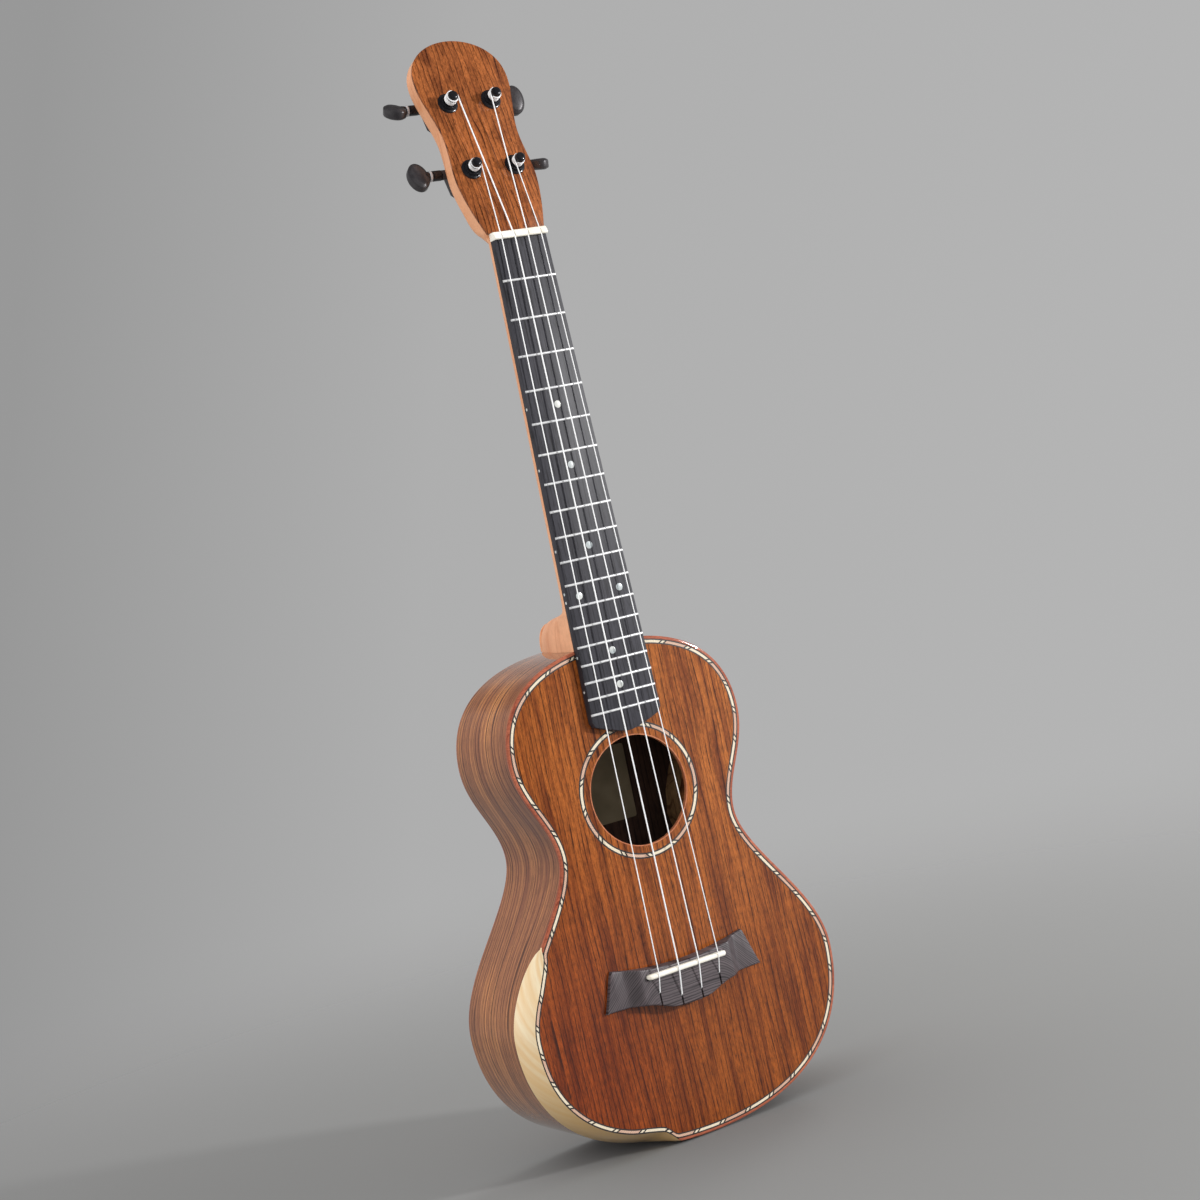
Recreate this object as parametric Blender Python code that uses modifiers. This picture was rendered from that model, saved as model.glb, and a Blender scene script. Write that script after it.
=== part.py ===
"""Tenor ukulele with a flat back, an armrest bevel and four geared tuners.

Metres. +Z runs along the strings to the head, -Y is the front, +X is to the right seen from the front.
The origin lies on the centre line, at the nut's front edge, in the plane of the soundboard.
"""
import math

import bmesh
import bpy
from mathutils import Matrix, Vector

for old in list(bpy.data.objects):
    bpy.data.objects.remove(old, do_unlink=True)

MM = 0.001
GAP = 0.3 * MM                      # clearance between touching pieces

# Neck and fingerboard
SCALE_LENGTH = 430 * MM
FRET_COUNT = 18
JOIN_FRET = 14                      # the body starts at this fret
NUT_WIDTH = 34.4 * MM
BOARD_END_WIDTH = 46.5 * MM
BOARD_THICKNESS = 4.7 * MM
BOARD_OVERHANG = 4.0 * MM           # straight edge past the last fret
BOARD_POINT = 9.5 * MM              # length of the pointed end
FRET_WIDTH = 2.0 * MM
FRET_HEIGHT = 0.9 * MM
FRET_FOOT = 0.5 * MM                # sunk into the fingerboard
FRET_INSET = 0.1 * MM               # from the board's edge
FRET_BEVEL = 0.7                    # slope of its ends
NUT_DEPTH = 4.5 * MM
NUT_HEIGHT = 2.4 * MM               # above the fingerboard
NUT_OVERHANG = 0.2 * MM             # beyond the board on each side
NUT_FALL = 2.2 * MM                 # its top is this much lower towards the head
NUT_EDGE = 0.6 * MM
NECK_DEPTH_NUT = 13.5 * MM
NECK_DEPTH_HEEL = 15.5 * MM
NECK_ROUNDNESS = 2.3                # power of the neck's section, 2 for an ellipse
HEEL_ROUNDNESS = 1.35               # the heel comes to more of a keel
HEEL_REACH = 81.8 * MM              # depth of the heel's keel before its foot is cut flat
HEEL_CAP_THICKNESS = 1.5 * MM
HEEL_CURVE = ((43 * MM, 0.0), (33 * MM, 0.02), (25 * MM, 0.09), (19.5 * MM, 0.26), (14.5 * MM, 0.55),
              (10 * MM, 0.89), (6 * MM, 0.97), (GAP, 1.0))   # above the joint, and share of the reach
VOLUTE_SWELL = 3.0 * MM             # extra thickness where the head meets the neck
VOLUTE_LENGTH = 20 * MM

# Body
BODY_LENGTH = 292.1 * MM
UPPER_WIDTH = 157.4 * MM
WAIST_WIDTH = 121.4 * MM
LOWER_WIDTH = 213.6 * MM
UPPER_AT = 55.9 * MM                # from the neck joint
WAIST_AT = 114.5 * MM
LOWER_AT = 209.9 * MM
DEPTH_AT_NECK = 66 * MM
DEPTH_AT_TAIL = 75 * MM
SIDE_WALL = 1.8 * MM
TOP_THICKNESS = 2.4 * MM
BACK_THICKNESS = 2.4 * MM
BINDING_HEIGHT = 5.0 * MM
PURFLING_WIDTH = 3.0 * MM
LINING_LAND = 3.5 * MM              # lining under the soundboard
LINING_DEPTH = 9.0 * MM
BACK_LINING_WIDTH = 5.0 * MM
LINING_END_GAP = 2 * MM             # between a lining's end and the block
NECK_BLOCK_LENGTH = 18 * MM
NECK_BLOCK_WIDTH = 56 * MM
TAIL_BLOCK_LENGTH = 14 * MM
TAIL_BLOCK_WIDTH = 52 * MM
BRACE_WIDTH = 6 * MM
BRACE_HEIGHT = 8 * MM
BRACE_INSET = 15.5 * MM             # from the body's outline
STRUT_WIDTH = 5 * MM
STRUT_HEIGHT = 6 * MM
STRUT_FROM_TAIL = 27 * MM
STRUT_SPREAD_TOP = 32.0 * MM        # outer struts from the centre line, at the brace
STRUT_SPREAD_END = 40.5 * MM        # and at their ends
BACK_BRACES_AT = (48.5 * MM, 152.2 * MM)   # from the neck joint
PLATE_THICKNESS = 2 * MM
PLATE_CORNER = 3 * MM

# Armrest bevel, along the left edge
BEVEL_FROM_TAIL = 22.6 * MM         # its end, before the tail's middle
BEVEL_LENGTH = 186.5 * MM
BEVEL_WIDTH = 7.2 * MM
BEVEL_DROP = 15.0 * MM
BEVEL_RISE = 30.0 * MM              # run over which it widens
BEVEL_FALL = 12.0 * MM              # run over which it closes again

# Soundhole
HOLE_RADIUS = 32.0 * MM
HOLE_AT = 88.4 * MM                 # from the neck joint
ROSETTE_INNER = 36.6 * MM
ROSETTE_OUTER = 39.9 * MM
ROSETTE_THICKNESS = 1.2 * MM
HOLE_SIDES = 48
LABEL_WIDTH = 64 * MM
LABEL_HEIGHT = 46 * MM
LABEL_THICKNESS = 0.3 * MM
LABEL_CORNER = 1.5 * MM

# Bridge
BRIDGE_LENGTH = 106.6 * MM
BRIDGE_TOP_LENGTH = 91.0 * MM
BRIDGE_HEIGHT = 8.8 * MM
WING_HEIGHT = 4.0 * MM
BRIDGE_DEPTH = 17.2 * MM            # at the middle, without the bulge
BRIDGE_BULGE = 7.8 * MM
BRIDGE_BULGE_HALF = 21.0 * MM       # half the bulge's length, at half its reach
BRIDGE_DIP = 5.4 * MM
BRIDGE_LEAD = 3.2 * MM              # bridge in front of the saddle's centre
BLOCK_HALF = 30 * MM                # half length of the thick middle
WING_SLOPE = 9 * MM                 # run over which it falls to the wings
BRIDGE_EDGE = 0.9 * MM              # its chamfer
WING_TIP = 4 * MM                   # length of the wing's slanted end
SADDLE_LENGTH = 54.3 * MM
SADDLE_WIDTH = 3.0 * MM
SADDLE_HEIGHT = 12.0 * MM
SADDLE_SEAT = 3.5 * MM              # depth of its slot
SADDLE_END = 2.6 * MM               # rounding of its ends
SADDLE_CROWN = 1.2 * MM             # its long edges below its crown
SADDLE_COMPENSATION = 1.0 * MM
SLOT_WIDTH = 1.6 * MM
SLOT_DEPTH = 4.4 * MM
SLOT_STARTS = (10.0 * MM, 15.0 * MM, 15.0 * MM, 10.0 * MM)   # behind the saddle
STRING_TAIL = 5 * MM                # string left in its slot

# Strings, from the left
STRING_DIAMETERS = (0.65 * MM, 0.90 * MM, 0.75 * MM, 0.62 * MM)
STRING_NUT_SPACING = 8.74 * MM
STRING_SADDLE_SPACING = 13.8 * MM
STRING_OVER_BOARD = 1.8 * MM        # string centre above the board at the nut

# Head
HEAD_ANGLE = math.radians(14.5)
HEAD_STEP = 3.0 * MM                # the face plane over the soundboard's plane at the nut
HEAD_LENGTH = 130.3 * MM
HEAD_THICKNESS = 12.0 * MM
VENEER = 1.5 * MM
HEAD_WAIST_WIDTH = 49.0 * MM
HEAD_SHOULDER_WIDTH = 52.6 * MM
HEAD_CROWN_WIDTH = 61.6 * MM
HEAD_SHOULDER_AT = 40.4 * MM        # from the nut
HEAD_WAIST_AT = 65.8 * MM
HEAD_CROWN_LENGTH = 26.5 * MM       # from its widest point to its tip
HEAD_TIP_CUT = 0.1 * MM             # flat left at the tip

# Tuners
POST_OFFSET = 14.35 * MM            # from the centre line
POST_ROWS = (46.1 * MM, 89.5 * MM)  # from the nut, along the head
POST_RADIUS = 3.0 * MM
POST_NECK_RADIUS = 2.6 * MM
POST_HEIGHT = 10.5 * MM
POST_CROWN = 1.2 * MM               # height of its rounded tip
POST_TIP = 1.6 * MM                 # left above the winding, at least
BUSHING_RADIUS = 6.3 * MM
BUSHING_HEIGHT = 2.6 * MM
BUSHING_COLLAR = 4.5 * MM           # radius of its upper part
BUSHING_FLANGE = 0.9 * MM           # thickness of its lower part
BUSHING_EDGE = 0.4 * MM
THREAD_SIDES = 8
GEAR_TEETH = 14
THREAD_PITCH = 2.2 * MM
GEAR_THICKNESS = 3.0 * MM
TOOTH_TIP = 0.4 * MM                # beyond the pitch radius
WORM_PITCH_RADIUS = 2.1 * MM
THREAD_DEPTH = 0.55 * MM            # beyond the pitch radius
TOOTH_HALF_THICKNESS = 0.27 * MM
SHAFT_RADIUS = 1.35 * MM
WORM_TURNS = 3
CASE_DEPTH = 9.5 * MM
CASE_WALL = 1.2 * MM
CASE_HALF_WIDTH = 7.2 * MM
CASE_CORNER = 3 * MM
FLANGE_THICKNESS = 1.2 * MM
SLEEVE_RADIUS = 2.9 * MM
SLEEVE_LENGTH = 3.5 * MM
SCREW_RADIUS = 0.9 * MM
SCREW_REACH = 3.2 * MM              # screw's centre beyond the casing
LUG_HALF_WIDTH = 3.2 * MM
LUG_END = 3 * MM                    # lug beyond the screw's centre
JOINED = 0.6 * MM                   # overlap of two shapes that become one
BUTTON_CENTRE = 40.5 * MM           # from the centre line
BUTTON_LENGTH = 12.5 * MM
BUTTON_WIDTH = 18.0 * MM
BUTTON_THICKNESS = 6.6 * MM
BUTTON_SOCKET = 8.0 * MM
COIL_TURNS = 2
COIL_CLEARANCE = 0.45 * MM          # between neighbouring turns
COIL_START = 0.6 * MM               # lowest turn above the bushing, beyond its clearance
LOOP_POINTS = 24
STILL_TURN = 280                    # degrees of the wrap that stays still
REST_TURNS = (10, 47, 10, 117)      # degrees each button is turned


def fret_z(number):
    return -SCALE_LENGTH * (1 - 2 ** (-number / 12))


# Values that follow from these
JOIN_Z = fret_z(JOIN_FRET)
TAIL_Z = JOIN_Z - BODY_LENGTH
HOLE_Z = JOIN_Z - HOLE_AT
LAST_FRET_Z = fret_z(FRET_COUNT)
BOARD_TOP = -(BOARD_THICKNESS + GAP)
SADDLE_Z = -(SCALE_LENGTH + SADDLE_COMPENSATION)
GEAR_RADIUS = GEAR_TEETH * THREAD_PITCH / (2 * math.pi)
CENTRE_DISTANCE = GEAR_RADIUS + WORM_PITCH_RADIUS
CASE_FRONT = -(HEAD_THICKNESS + GAP)
WORM_DEPTH = CASE_FRONT - CASE_DEPTH / 2
SCREW_ALONG = -(CASE_HALF_WIDTH + SCREW_REACH)
HEAD_CROWN_AT = HEAD_LENGTH - HEAD_CROWN_LENGTH
HEAD_BREAK = (HEAD_STEP - (VENEER + GAP) * math.cos(HEAD_ANGLE)) / math.sin(HEAD_ANGLE)
HEAD_START = max(HEAD_BREAK, NUT_DEPTH) + GAP
HEEL_CUT = DEPTH_AT_NECK - HEEL_CAP_THICKNESS - GAP
BODY_COLLECTION = bpy.data.collections.new("tenor_ukulele")
CUTTERS = bpy.data.collections.new("cutters")
bpy.context.scene.collection.children.link(BODY_COLLECTION)
bpy.context.scene.collection.children.link(CUTTERS)


def material(name, color, roughness, metallic=0.0):
    made = bpy.data.materials.new(name)
    made.use_nodes = True
    shader = made.node_tree.nodes["Principled BSDF"]
    shader.inputs["Base Color"].default_value = (*color, 1)
    shader.inputs["Roughness"].default_value = roughness
    shader.inputs["Metallic"].default_value = metallic
    return made


TOP_WOOD = material("top_wood", (0.42, 0.17, 0.06), 0.15)
SIDE_WOOD = material("side_wood", (0.36, 0.20, 0.10), 0.15)
NECK_WOOD = material("neck_wood", (0.62, 0.40, 0.27), 0.35)
FACE_WOOD = material("face_wood", (0.30, 0.15, 0.07), 0.2)
INNER_WOOD = material("inner_wood", (0.60, 0.42, 0.25), 0.7)
BEVEL_WOOD = material("bevel_wood", (0.80, 0.66, 0.45), 0.15)
DARK_WOOD = material("dark_wood", (0.05, 0.045, 0.045), 0.45)
BINDING = material("binding", (0.35, 0.10, 0.05), 0.2)
INLAY = material("inlay", (0.70, 0.55, 0.38), 0.2)
PAPER = material("paper", (0.35, 0.31, 0.20), 0.8)
BONE = material("bone", (0.82, 0.78, 0.66), 0.35)
SILVER = material("silver", (0.72, 0.72, 0.72), 0.2, 1.0)
BLACK_METAL = material("black_metal", (0.03, 0.03, 0.035), 0.25, 1.0)
BRASS = material("brass", (0.62, 0.45, 0.18), 0.3, 1.0)
NYLON = material("nylon", (0.85, 0.85, 0.82), 0.25)


def new_object(name, mesh, finish, parent=None):
    """An object of the part, with its finish."""
    made = bpy.data.objects.new(name, mesh)
    BODY_COLLECTION.objects.link(made)
    mesh.materials.clear()
    mesh.materials.append(finish)
    made.parent = parent
    return made


def new_cutter(name, mesh, parent=None):
    """A shape that only cuts or joins."""
    made = bpy.data.objects.new(name, mesh)
    CUTTERS.objects.link(made)
    made.hide_render = True
    made.display_type = "WIRE"
    made.parent = parent
    return made


def boolean(target, cutter, operation="DIFFERENCE"):
    step = target.modifiers.new(cutter.name, "BOOLEAN")
    step.operation = operation
    step.solver = "EXACT"
    step.object = cutter


def smooth(mesh, degrees=35):
    mesh.shade_smooth()
    mesh.set_sharp_from_angle(angle=math.radians(degrees))


def as_mesh(name, work):
    """A bmesh as mesh data, its faces turned outward."""
    bmesh.ops.recalc_face_normals(work, faces=work.faces[:])
    mesh = bpy.data.meshes.new(name)
    work.to_mesh(mesh)
    work.free()
    smooth(mesh)
    return mesh


def add_loft(work, rings, around=False):
    """Add a closed skin through rings of equal count: capped, or back round to the first ring."""
    rows = [[work.verts.new(point) for point in ring] for ring in rings]
    count = len(rows[0])
    pairs = list(zip(rows, rows[1:]))
    if around:
        pairs.append((rows[-1], rows[0]))
    for first, second in pairs:
        for i in range(count):
            j = (i + 1) % count
            work.faces.new((first[i], first[j], second[j], second[i]))
    if not around:
        work.faces.new(rows[0][::-1])
        work.faces.new(rows[-1])


def loft(name, rings, around=False):
    work = bmesh.new()
    add_loft(work, rings, around)
    return as_mesh(name, work)


def slab(name, loops, place):
    """A flat outline with holes, given a thickness: place(u, v, side) puts each corner, side 0 or 1."""
    data = bpy.data.curves.new(name, "CURVE")
    data.dimensions = "2D"
    data.fill_mode = "BOTH"
    data.extrude = 0.5
    for loop in loops:
        spline = data.splines.new("POLY")
        spline.points.add(len(loop) - 1)
        spline.use_cyclic_u = True
        for point, (u, v) in zip(spline.points, loop):
            point.co = (u / MM, v / MM, 0, 1)
    guide = bpy.data.objects.new(name + "_outline", data)
    CUTTERS.objects.link(guide)
    bpy.context.view_layer.update()
    filled = bpy.data.meshes.new_from_object(guide.evaluated_get(bpy.context.evaluated_depsgraph_get()))
    work = bmesh.new()
    work.from_mesh(filled)
    bmesh.ops.remove_doubles(work, verts=work.verts[:], dist=0.0001)
    for corner in work.verts:
        side = 0 if corner.co.z > 0 else 1
        corner.co = place(corner.co.x * MM, corner.co.y * MM, side)
    bpy.data.objects.remove(guide, do_unlink=True)
    bpy.data.curves.remove(data)
    bpy.data.meshes.remove(filled)
    return as_mesh(name, work)


def turned(name, profile, steps, closed=False):
    """A profile of (radius, height) pairs, outer side from top to bottom, turned round local Z."""
    mesh = bpy.data.meshes.new(name)
    links = [(i, i + 1) for i in range(len(profile) - 1)]
    if closed:
        links.append((len(profile) - 1, 0))
    mesh.from_pydata([(radius, 0, height) for radius, height in profile], links, [])
    made = bpy.data.objects.new(name, mesh)
    CUTTERS.objects.link(made)
    screw = made.modifiers.new("turn", "SCREW")
    screw.steps = steps
    screw.render_steps = steps
    screw.use_merge_vertices = True
    screw.merge_threshold = 0.00001
    bpy.context.view_layer.update()
    spun = bpy.data.meshes.new_from_object(made.evaluated_get(bpy.context.evaluated_depsgraph_get()))
    bpy.data.objects.remove(made, do_unlink=True)
    work = bmesh.new()
    work.from_mesh(spun)
    bmesh.ops.remove_doubles(work, verts=work.verts[:], dist=0.000005)
    bpy.data.meshes.remove(spun)
    return as_mesh(name, work)


def add_cylinder(work, start, end, radius, sides=12):
    """Add a closed cylinder from one point to another."""
    start = Vector(start)
    end = Vector(end)
    along = end - start
    turn = along.to_track_quat("Z", "Y").to_matrix().to_4x4()
    middle = Matrix.Translation((start + end) / 2)
    bmesh.ops.create_cone(work, cap_ends=True, segments=sides, radius1=radius, radius2=radius,
                          depth=along.length, matrix=middle @ turn)


def add_box(work, low, high):
    low = Vector(low)
    high = Vector(high)
    size = Matrix.Diagonal((*(high - low), 1))
    bmesh.ops.create_cube(work, size=1, matrix=Matrix.Translation((low + high) / 2) @ size)


def tube(name, points, diameter, resolution=1):
    """A round string through points, as a welded mesh."""
    data = bpy.data.curves.new(name, "CURVE")
    data.dimensions = "3D"
    data.bevel_depth = diameter / 2
    data.bevel_resolution = resolution
    data.use_fill_caps = True
    spline = data.splines.new("POLY")
    spline.points.add(len(points) - 1)
    for point, place in zip(spline.points, points):
        point.co = (*place, 1)
    guide = bpy.data.objects.new(name + "_path", data)
    CUTTERS.objects.link(guide)
    bpy.context.view_layer.update()
    swept = bpy.data.meshes.new_from_object(guide.evaluated_get(bpy.context.evaluated_depsgraph_get()))
    work = bmesh.new()
    work.from_mesh(swept)
    bmesh.ops.remove_doubles(work, verts=work.verts[:], dist=0.000005)
    bpy.data.objects.remove(guide, do_unlink=True)
    bpy.data.curves.remove(data)
    bpy.data.meshes.remove(swept)
    return as_mesh(name, work)


def blend(low, high, share):
    """A value that eases from low to high as share goes from 0 to 1."""
    share = min(max(share, 0.0), 1.0)
    return low + (high - low) * (3 - 2 * share) * share * share


def circle(radius, count, centre=(0, 0)):
    turns = [2 * math.pi * i / count for i in range(count)]
    return [(centre[0] + radius * math.sin(a), centre[1] + radius * math.cos(a)) for a in turns]


def rounded_rectangle(left, right, low, high, radius, count=4):
    """Corner arcs of a rectangle, counter-clockwise from the lower right."""
    points = []
    centres = ((right - radius, low + radius, -90), (right - radius, high - radius, 0),
               (left + radius, high - radius, 90), (left + radius, low + radius, 180))
    for u, v, first in centres:
        for i in range(count):
            turn = math.radians(first + 90 * i / (count - 1))
            points.append((u + radius * math.cos(turn), v + radius * math.sin(turn)))
    return points


# The body's outline and everything that follows it

def outline_points(count):
    """Half of the body's outline, from the neck joint down the right side to the tail."""
    upper = Vector((UPPER_WIDTH / 2, JOIN_Z - UPPER_AT))
    waist = Vector((WAIST_WIDTH / 2, JOIN_Z - WAIST_AT))
    lower = Vector((LOWER_WIDTH / 2, JOIN_Z - LOWER_AT))
    top = Vector((0, JOIN_Z))
    tail = Vector((0, TAIL_Z))
    down = Vector((0, -1))
    shoulder = top.y - upper.y
    flank = upper.y - waist.y
    hip = waist.y - lower.y
    base = lower.y - tail.y
    curves = ((top, Vector((0.62 * upper.x, top.y)), upper - down * 0.655 * shoulder, upper),
              (upper, upper + down * 0.4 * flank, waist - down * 0.34 * flank, waist),
              (waist, waist + down * 0.277 * hip, lower - down * 0.364 * hip, lower),
              (lower, lower + down * 0.534 * base, Vector((0.727 * lower.x, tail.y)), tail))
    points = []
    for p0, p1, p2, p3 in curves:
        for i in range(count):
            t = i / count
            s = 1 - t
            points.append(s ** 3 * p0 + 3 * s * s * t * p1 + 3 * s * t * t * p2 + t ** 3 * p3)
    return points + [tail]


def whole_outline():
    """The closed outline, from the neck joint down the left side and back up the right."""
    right = outline_points(60)
    left = [Vector((-point.x, point.y)) for point in right]
    return left + right[-2::-1]


DENSE = whole_outline()
RUNS = [0.0]
for before, after in zip(DENSE, DENSE[1:]):
    RUNS.append(RUNS[-1] + (after - before).length)
PERIMETER = RUNS[-1]
HALF = PERIMETER / 2
BEVEL_END = HALF - BEVEL_FROM_TAIL
BEVEL_START = BEVEL_END - BEVEL_LENGTH


def on_outline(run):
    """The outline's point at a run along it."""
    run = run % PERIMETER
    for i in range(len(RUNS) - 1):
        if RUNS[i + 1] >= run:
            share = (run - RUNS[i]) / (RUNS[i + 1] - RUNS[i])
            return DENSE[i].lerp(DENSE[i + 1], share)
    return DENSE[0]


def spread(start, end, count):
    return [start + (end - start) * i / count for i in range(count)]


STATIONS = (spread(0, BEVEL_START, 19)
            + spread(BEVEL_START, BEVEL_START + BEVEL_RISE, 4)
            + spread(BEVEL_START + BEVEL_RISE, BEVEL_END - BEVEL_FALL, 12)
            + spread(BEVEL_END - BEVEL_FALL, BEVEL_END, 4)
            + spread(BEVEL_END, PERIMETER, 37))
CORNERS = [on_outline(run) for run in STATIONS]


def inward(i):
    """The direction that moves corner i inward by one unit from both of its edges."""
    before = CORNERS[i] - CORNERS[i - 1]
    after = CORNERS[(i + 1) % len(CORNERS)] - CORNERS[i]
    first = Vector((-before.y, before.x)).normalized()
    second = Vector((-after.y, after.x)).normalized()
    return (first + second) / (1 + first.dot(second))


INWARD = [inward(i) for i in range(len(CORNERS))]


def rim(run, inset):
    """The point at a run along the edge, moved inward by inset."""
    run = run % PERIMETER
    i = max(k for k in range(len(STATIONS)) if STATIONS[k] <= run)
    j = (i + 1) % len(STATIONS)
    end = STATIONS[j] if j else PERIMETER
    share = (run - STATIONS[i]) / (end - STATIONS[i])
    point = CORNERS[i].lerp(CORNERS[j], share) + INWARD[i].lerp(INWARD[j], share) * inset
    return (point.x, point.y)


def rim_runs(start, end):
    """The stations from start to end, with both ends."""
    lap = STATIONS + [run + PERIMETER for run in STATIONS] + [run - PERIMETER for run in STATIONS]
    inner = sorted(run for run in lap if start + MM < run < end - MM)
    return [start] + inner + [end]


def rim_path(start, end, inset):
    return [rim(run, inset(run)) for run in rim_runs(start, end)]


def rim_ring(inset):
    return [rim(run, inset(run)) for run in STATIONS]


def bevel_share(run):
    """How far the armrest bevel is open at a run: 0 outside it, 1 along its middle."""
    run = run % PERIMETER
    if not BEVEL_START <= run <= BEVEL_END:
        return 0.0
    opening = blend(0, 1, (run - BEVEL_START) / BEVEL_RISE)
    closing = blend(0, 1, (BEVEL_END - run) / BEVEL_FALL)
    return min(opening, closing)


def bevel_width(run):
    return SIDE_WALL + (BEVEL_WIDTH - SIDE_WALL) * bevel_share(run)


def bevel_drop(run):
    return BINDING_HEIGHT + (BEVEL_DROP - BINDING_HEIGHT) * bevel_share(run)


def trim_inset(run):
    """Where the purfling starts."""
    return bevel_width(run) + GAP


def top_inset(run):
    """Where the soundboard starts."""
    return trim_inset(run) + PURFLING_WIDTH + GAP


def lining_inset(run):
    return top_inset(run) + LINING_LAND


def steady(value):
    return lambda run: value


def back_y(z):
    """The back's outer plane."""
    return DEPTH_AT_NECK + (DEPTH_AT_TAIL - DEPTH_AT_NECK) * (JOIN_Z - z) / BODY_LENGTH


def between(front, back):
    """A place function for a slab that lies between two planes, each a number or a function of z."""
    def place(x, z, side):
        edge = (front, back)[side]
        return Vector((x, edge(z) if callable(edge) else edge, z))
    return place


def behind(offset):
    """A plane that lies offset in front of the back's outer plane."""
    return lambda z: back_y(z) - offset


def half_width(z, inset):
    """Half the body's width at a height, inside an inset."""
    path = rim_path(HALF, PERIMETER, steady(inset))
    for (x0, z0), (x1, z1) in zip(path, path[1:]):
        if min(z0, z1) <= z <= max(z0, z1) and z0 != z1:
            return x0 + (x1 - x0) * (z - z0) / (z1 - z0)
    return 0.0


def make_sides():
    """The bent sides: a wall whose front edge drops under the bevel, and whose back edge follows the back."""
    sections = []
    for run in STATIONS:
        front = bevel_drop(run) + GAP
        section = []
        for inset in (0, SIDE_WALL):
            x, z = rim(run, inset)
            back = back_y(z) - BINDING_HEIGHT - GAP
            section.append((Vector((x, front, z)), Vector((x, back, z))))
        outer, inner = section
        sections.append([outer[0], inner[0], inner[1], outer[1]])
    new_object("sides", loft("sides", sections, around=True), SIDE_WOOD)


def strip(start, end, outer, inner):
    """A closed loop along the edge between two insets."""
    return rim_path(start, end, outer) + rim_path(start, end, inner)[::-1]


def make_top():
    board = slab("soundboard", [rim_ring(top_inset), circle(HOLE_RADIUS, HOLE_SIDES, (0, HOLE_Z))],
                 between(0, TOP_THICKNESS))
    soundboard = new_object("soundboard", board, TOP_WOOD)
    groove = [circle(ROSETTE_OUTER + GAP, HOLE_SIDES, (0, HOLE_Z)),
              circle(ROSETTE_INNER - GAP, HOLE_SIDES, (0, HOLE_Z))]
    cutter = slab("rosette_groove", groove, between(-MM, ROSETTE_THICKNESS + GAP))
    boolean(soundboard, new_cutter("rosette_groove", cutter))
    rings = [circle(ROSETTE_OUTER, HOLE_SIDES, (0, HOLE_Z)),
             circle(ROSETTE_INNER, HOLE_SIDES, (0, HOLE_Z))]
    new_object("rosette", slab("rosette", rings, between(0, ROSETTE_THICKNESS)), INLAY)


def make_edge_trim():
    rings = [rim_ring(trim_inset), rim_ring(lambda run: trim_inset(run) + PURFLING_WIDTH)]
    new_object("top_purfling", slab("top_purfling", rings, between(0, TOP_THICKNESS)), INLAY)
    start = BEVEL_END + GAP / 2
    end = PERIMETER + BEVEL_START - GAP / 2
    loop = strip(start, end, steady(0), steady(SIDE_WALL))
    new_object("top_binding", slab("top_binding", [loop], between(0, BINDING_HEIGHT)), BINDING)
    rings = [rim_ring(steady(0)), rim_ring(steady(SIDE_WALL))]
    place = between(behind(BINDING_HEIGHT), behind(0))
    new_object("back_binding", slab("back_binding", rings, place), BINDING)


def make_bevel():
    """The armrest: a slanted strip that replaces the edge between soundboard and side."""
    rings = []
    for run in rim_runs(BEVEL_START + GAP / 2, BEVEL_END - GAP / 2):
        width = bevel_width(run)
        drop = bevel_drop(run)
        section = ((width, 0), (width * 0.42, drop * 0.42), (0, drop), (width, drop))
        rings.append([Vector((rim(run, u)[0], y, rim(run, u)[1])) for u, y in section])
    new_object("armrest_bevel", loft("armrest_bevel", rings), BEVEL_WOOD)


def block_loop(start, end, inset, cut_z):
    """A block's outline: along the side's inner face, and straight across at cut_z."""
    path = rim_path(start, end, inset)
    return path + [(path[-1][0], cut_z), (path[0][0], cut_z)]


def make_inside():
    under_top = TOP_THICKNESS + GAP
    over_back = BACK_THICKNESS + GAP
    block_run = NECK_BLOCK_WIDTH / 2
    tail_run = TAIL_BLOCK_WIDTH / 2
    wall = steady(SIDE_WALL + GAP)
    inside = between(under_top, behind(over_back))
    loop = block_loop(-block_run, block_run, wall, JOIN_Z - SIDE_WALL - NECK_BLOCK_LENGTH)
    new_object("neck_block", slab("neck_block", [loop], inside), INNER_WOOD)
    loop = block_loop(HALF - tail_run, HALF + tail_run, trim_inset, TAIL_Z + SIDE_WALL + TAIL_BLOCK_LENGTH)
    new_object("tail_block", slab("tail_block", [loop], inside), INNER_WOOD)
    first = block_run + LINING_END_GAP
    last = HALF - tail_run - LINING_END_GAP
    inner = steady(SIDE_WALL + GAP + BACK_LINING_WIDTH)
    top_place = between(under_top, under_top + LINING_DEPTH)
    back_place = between(behind(over_back + LINING_DEPTH), behind(over_back))
    for side, start, end in (("left", first, last), ("right", PERIMETER - last, PERIMETER - first)):
        name = f"top_lining_{side}"
        new_object(name, slab(name, [strip(start, end, trim_inset, lining_inset)], top_place), INNER_WOOD)
        name = f"back_lining_{side}"
        new_object(name, slab(name, [strip(start, end, wall, inner)], back_place), INNER_WOOD)


def make_back():
    loop = rim_ring(steady(SIDE_WALL + GAP))
    place = between(behind(BACK_THICKNESS), behind(0))
    new_object("back_plate", slab("back_plate", [loop], place), SIDE_WOOD)


def bar(z, reach, width):
    """A cross brace's outline: full width, narrower at its ends."""
    half = width / 2
    lower = [(-reach, z - half / 2), (-reach + width, z - half), (reach - width, z - half),
             (reach, z - half / 2)]
    return lower + [(x, 2 * z - v) for x, v in lower[::-1]]


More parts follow.
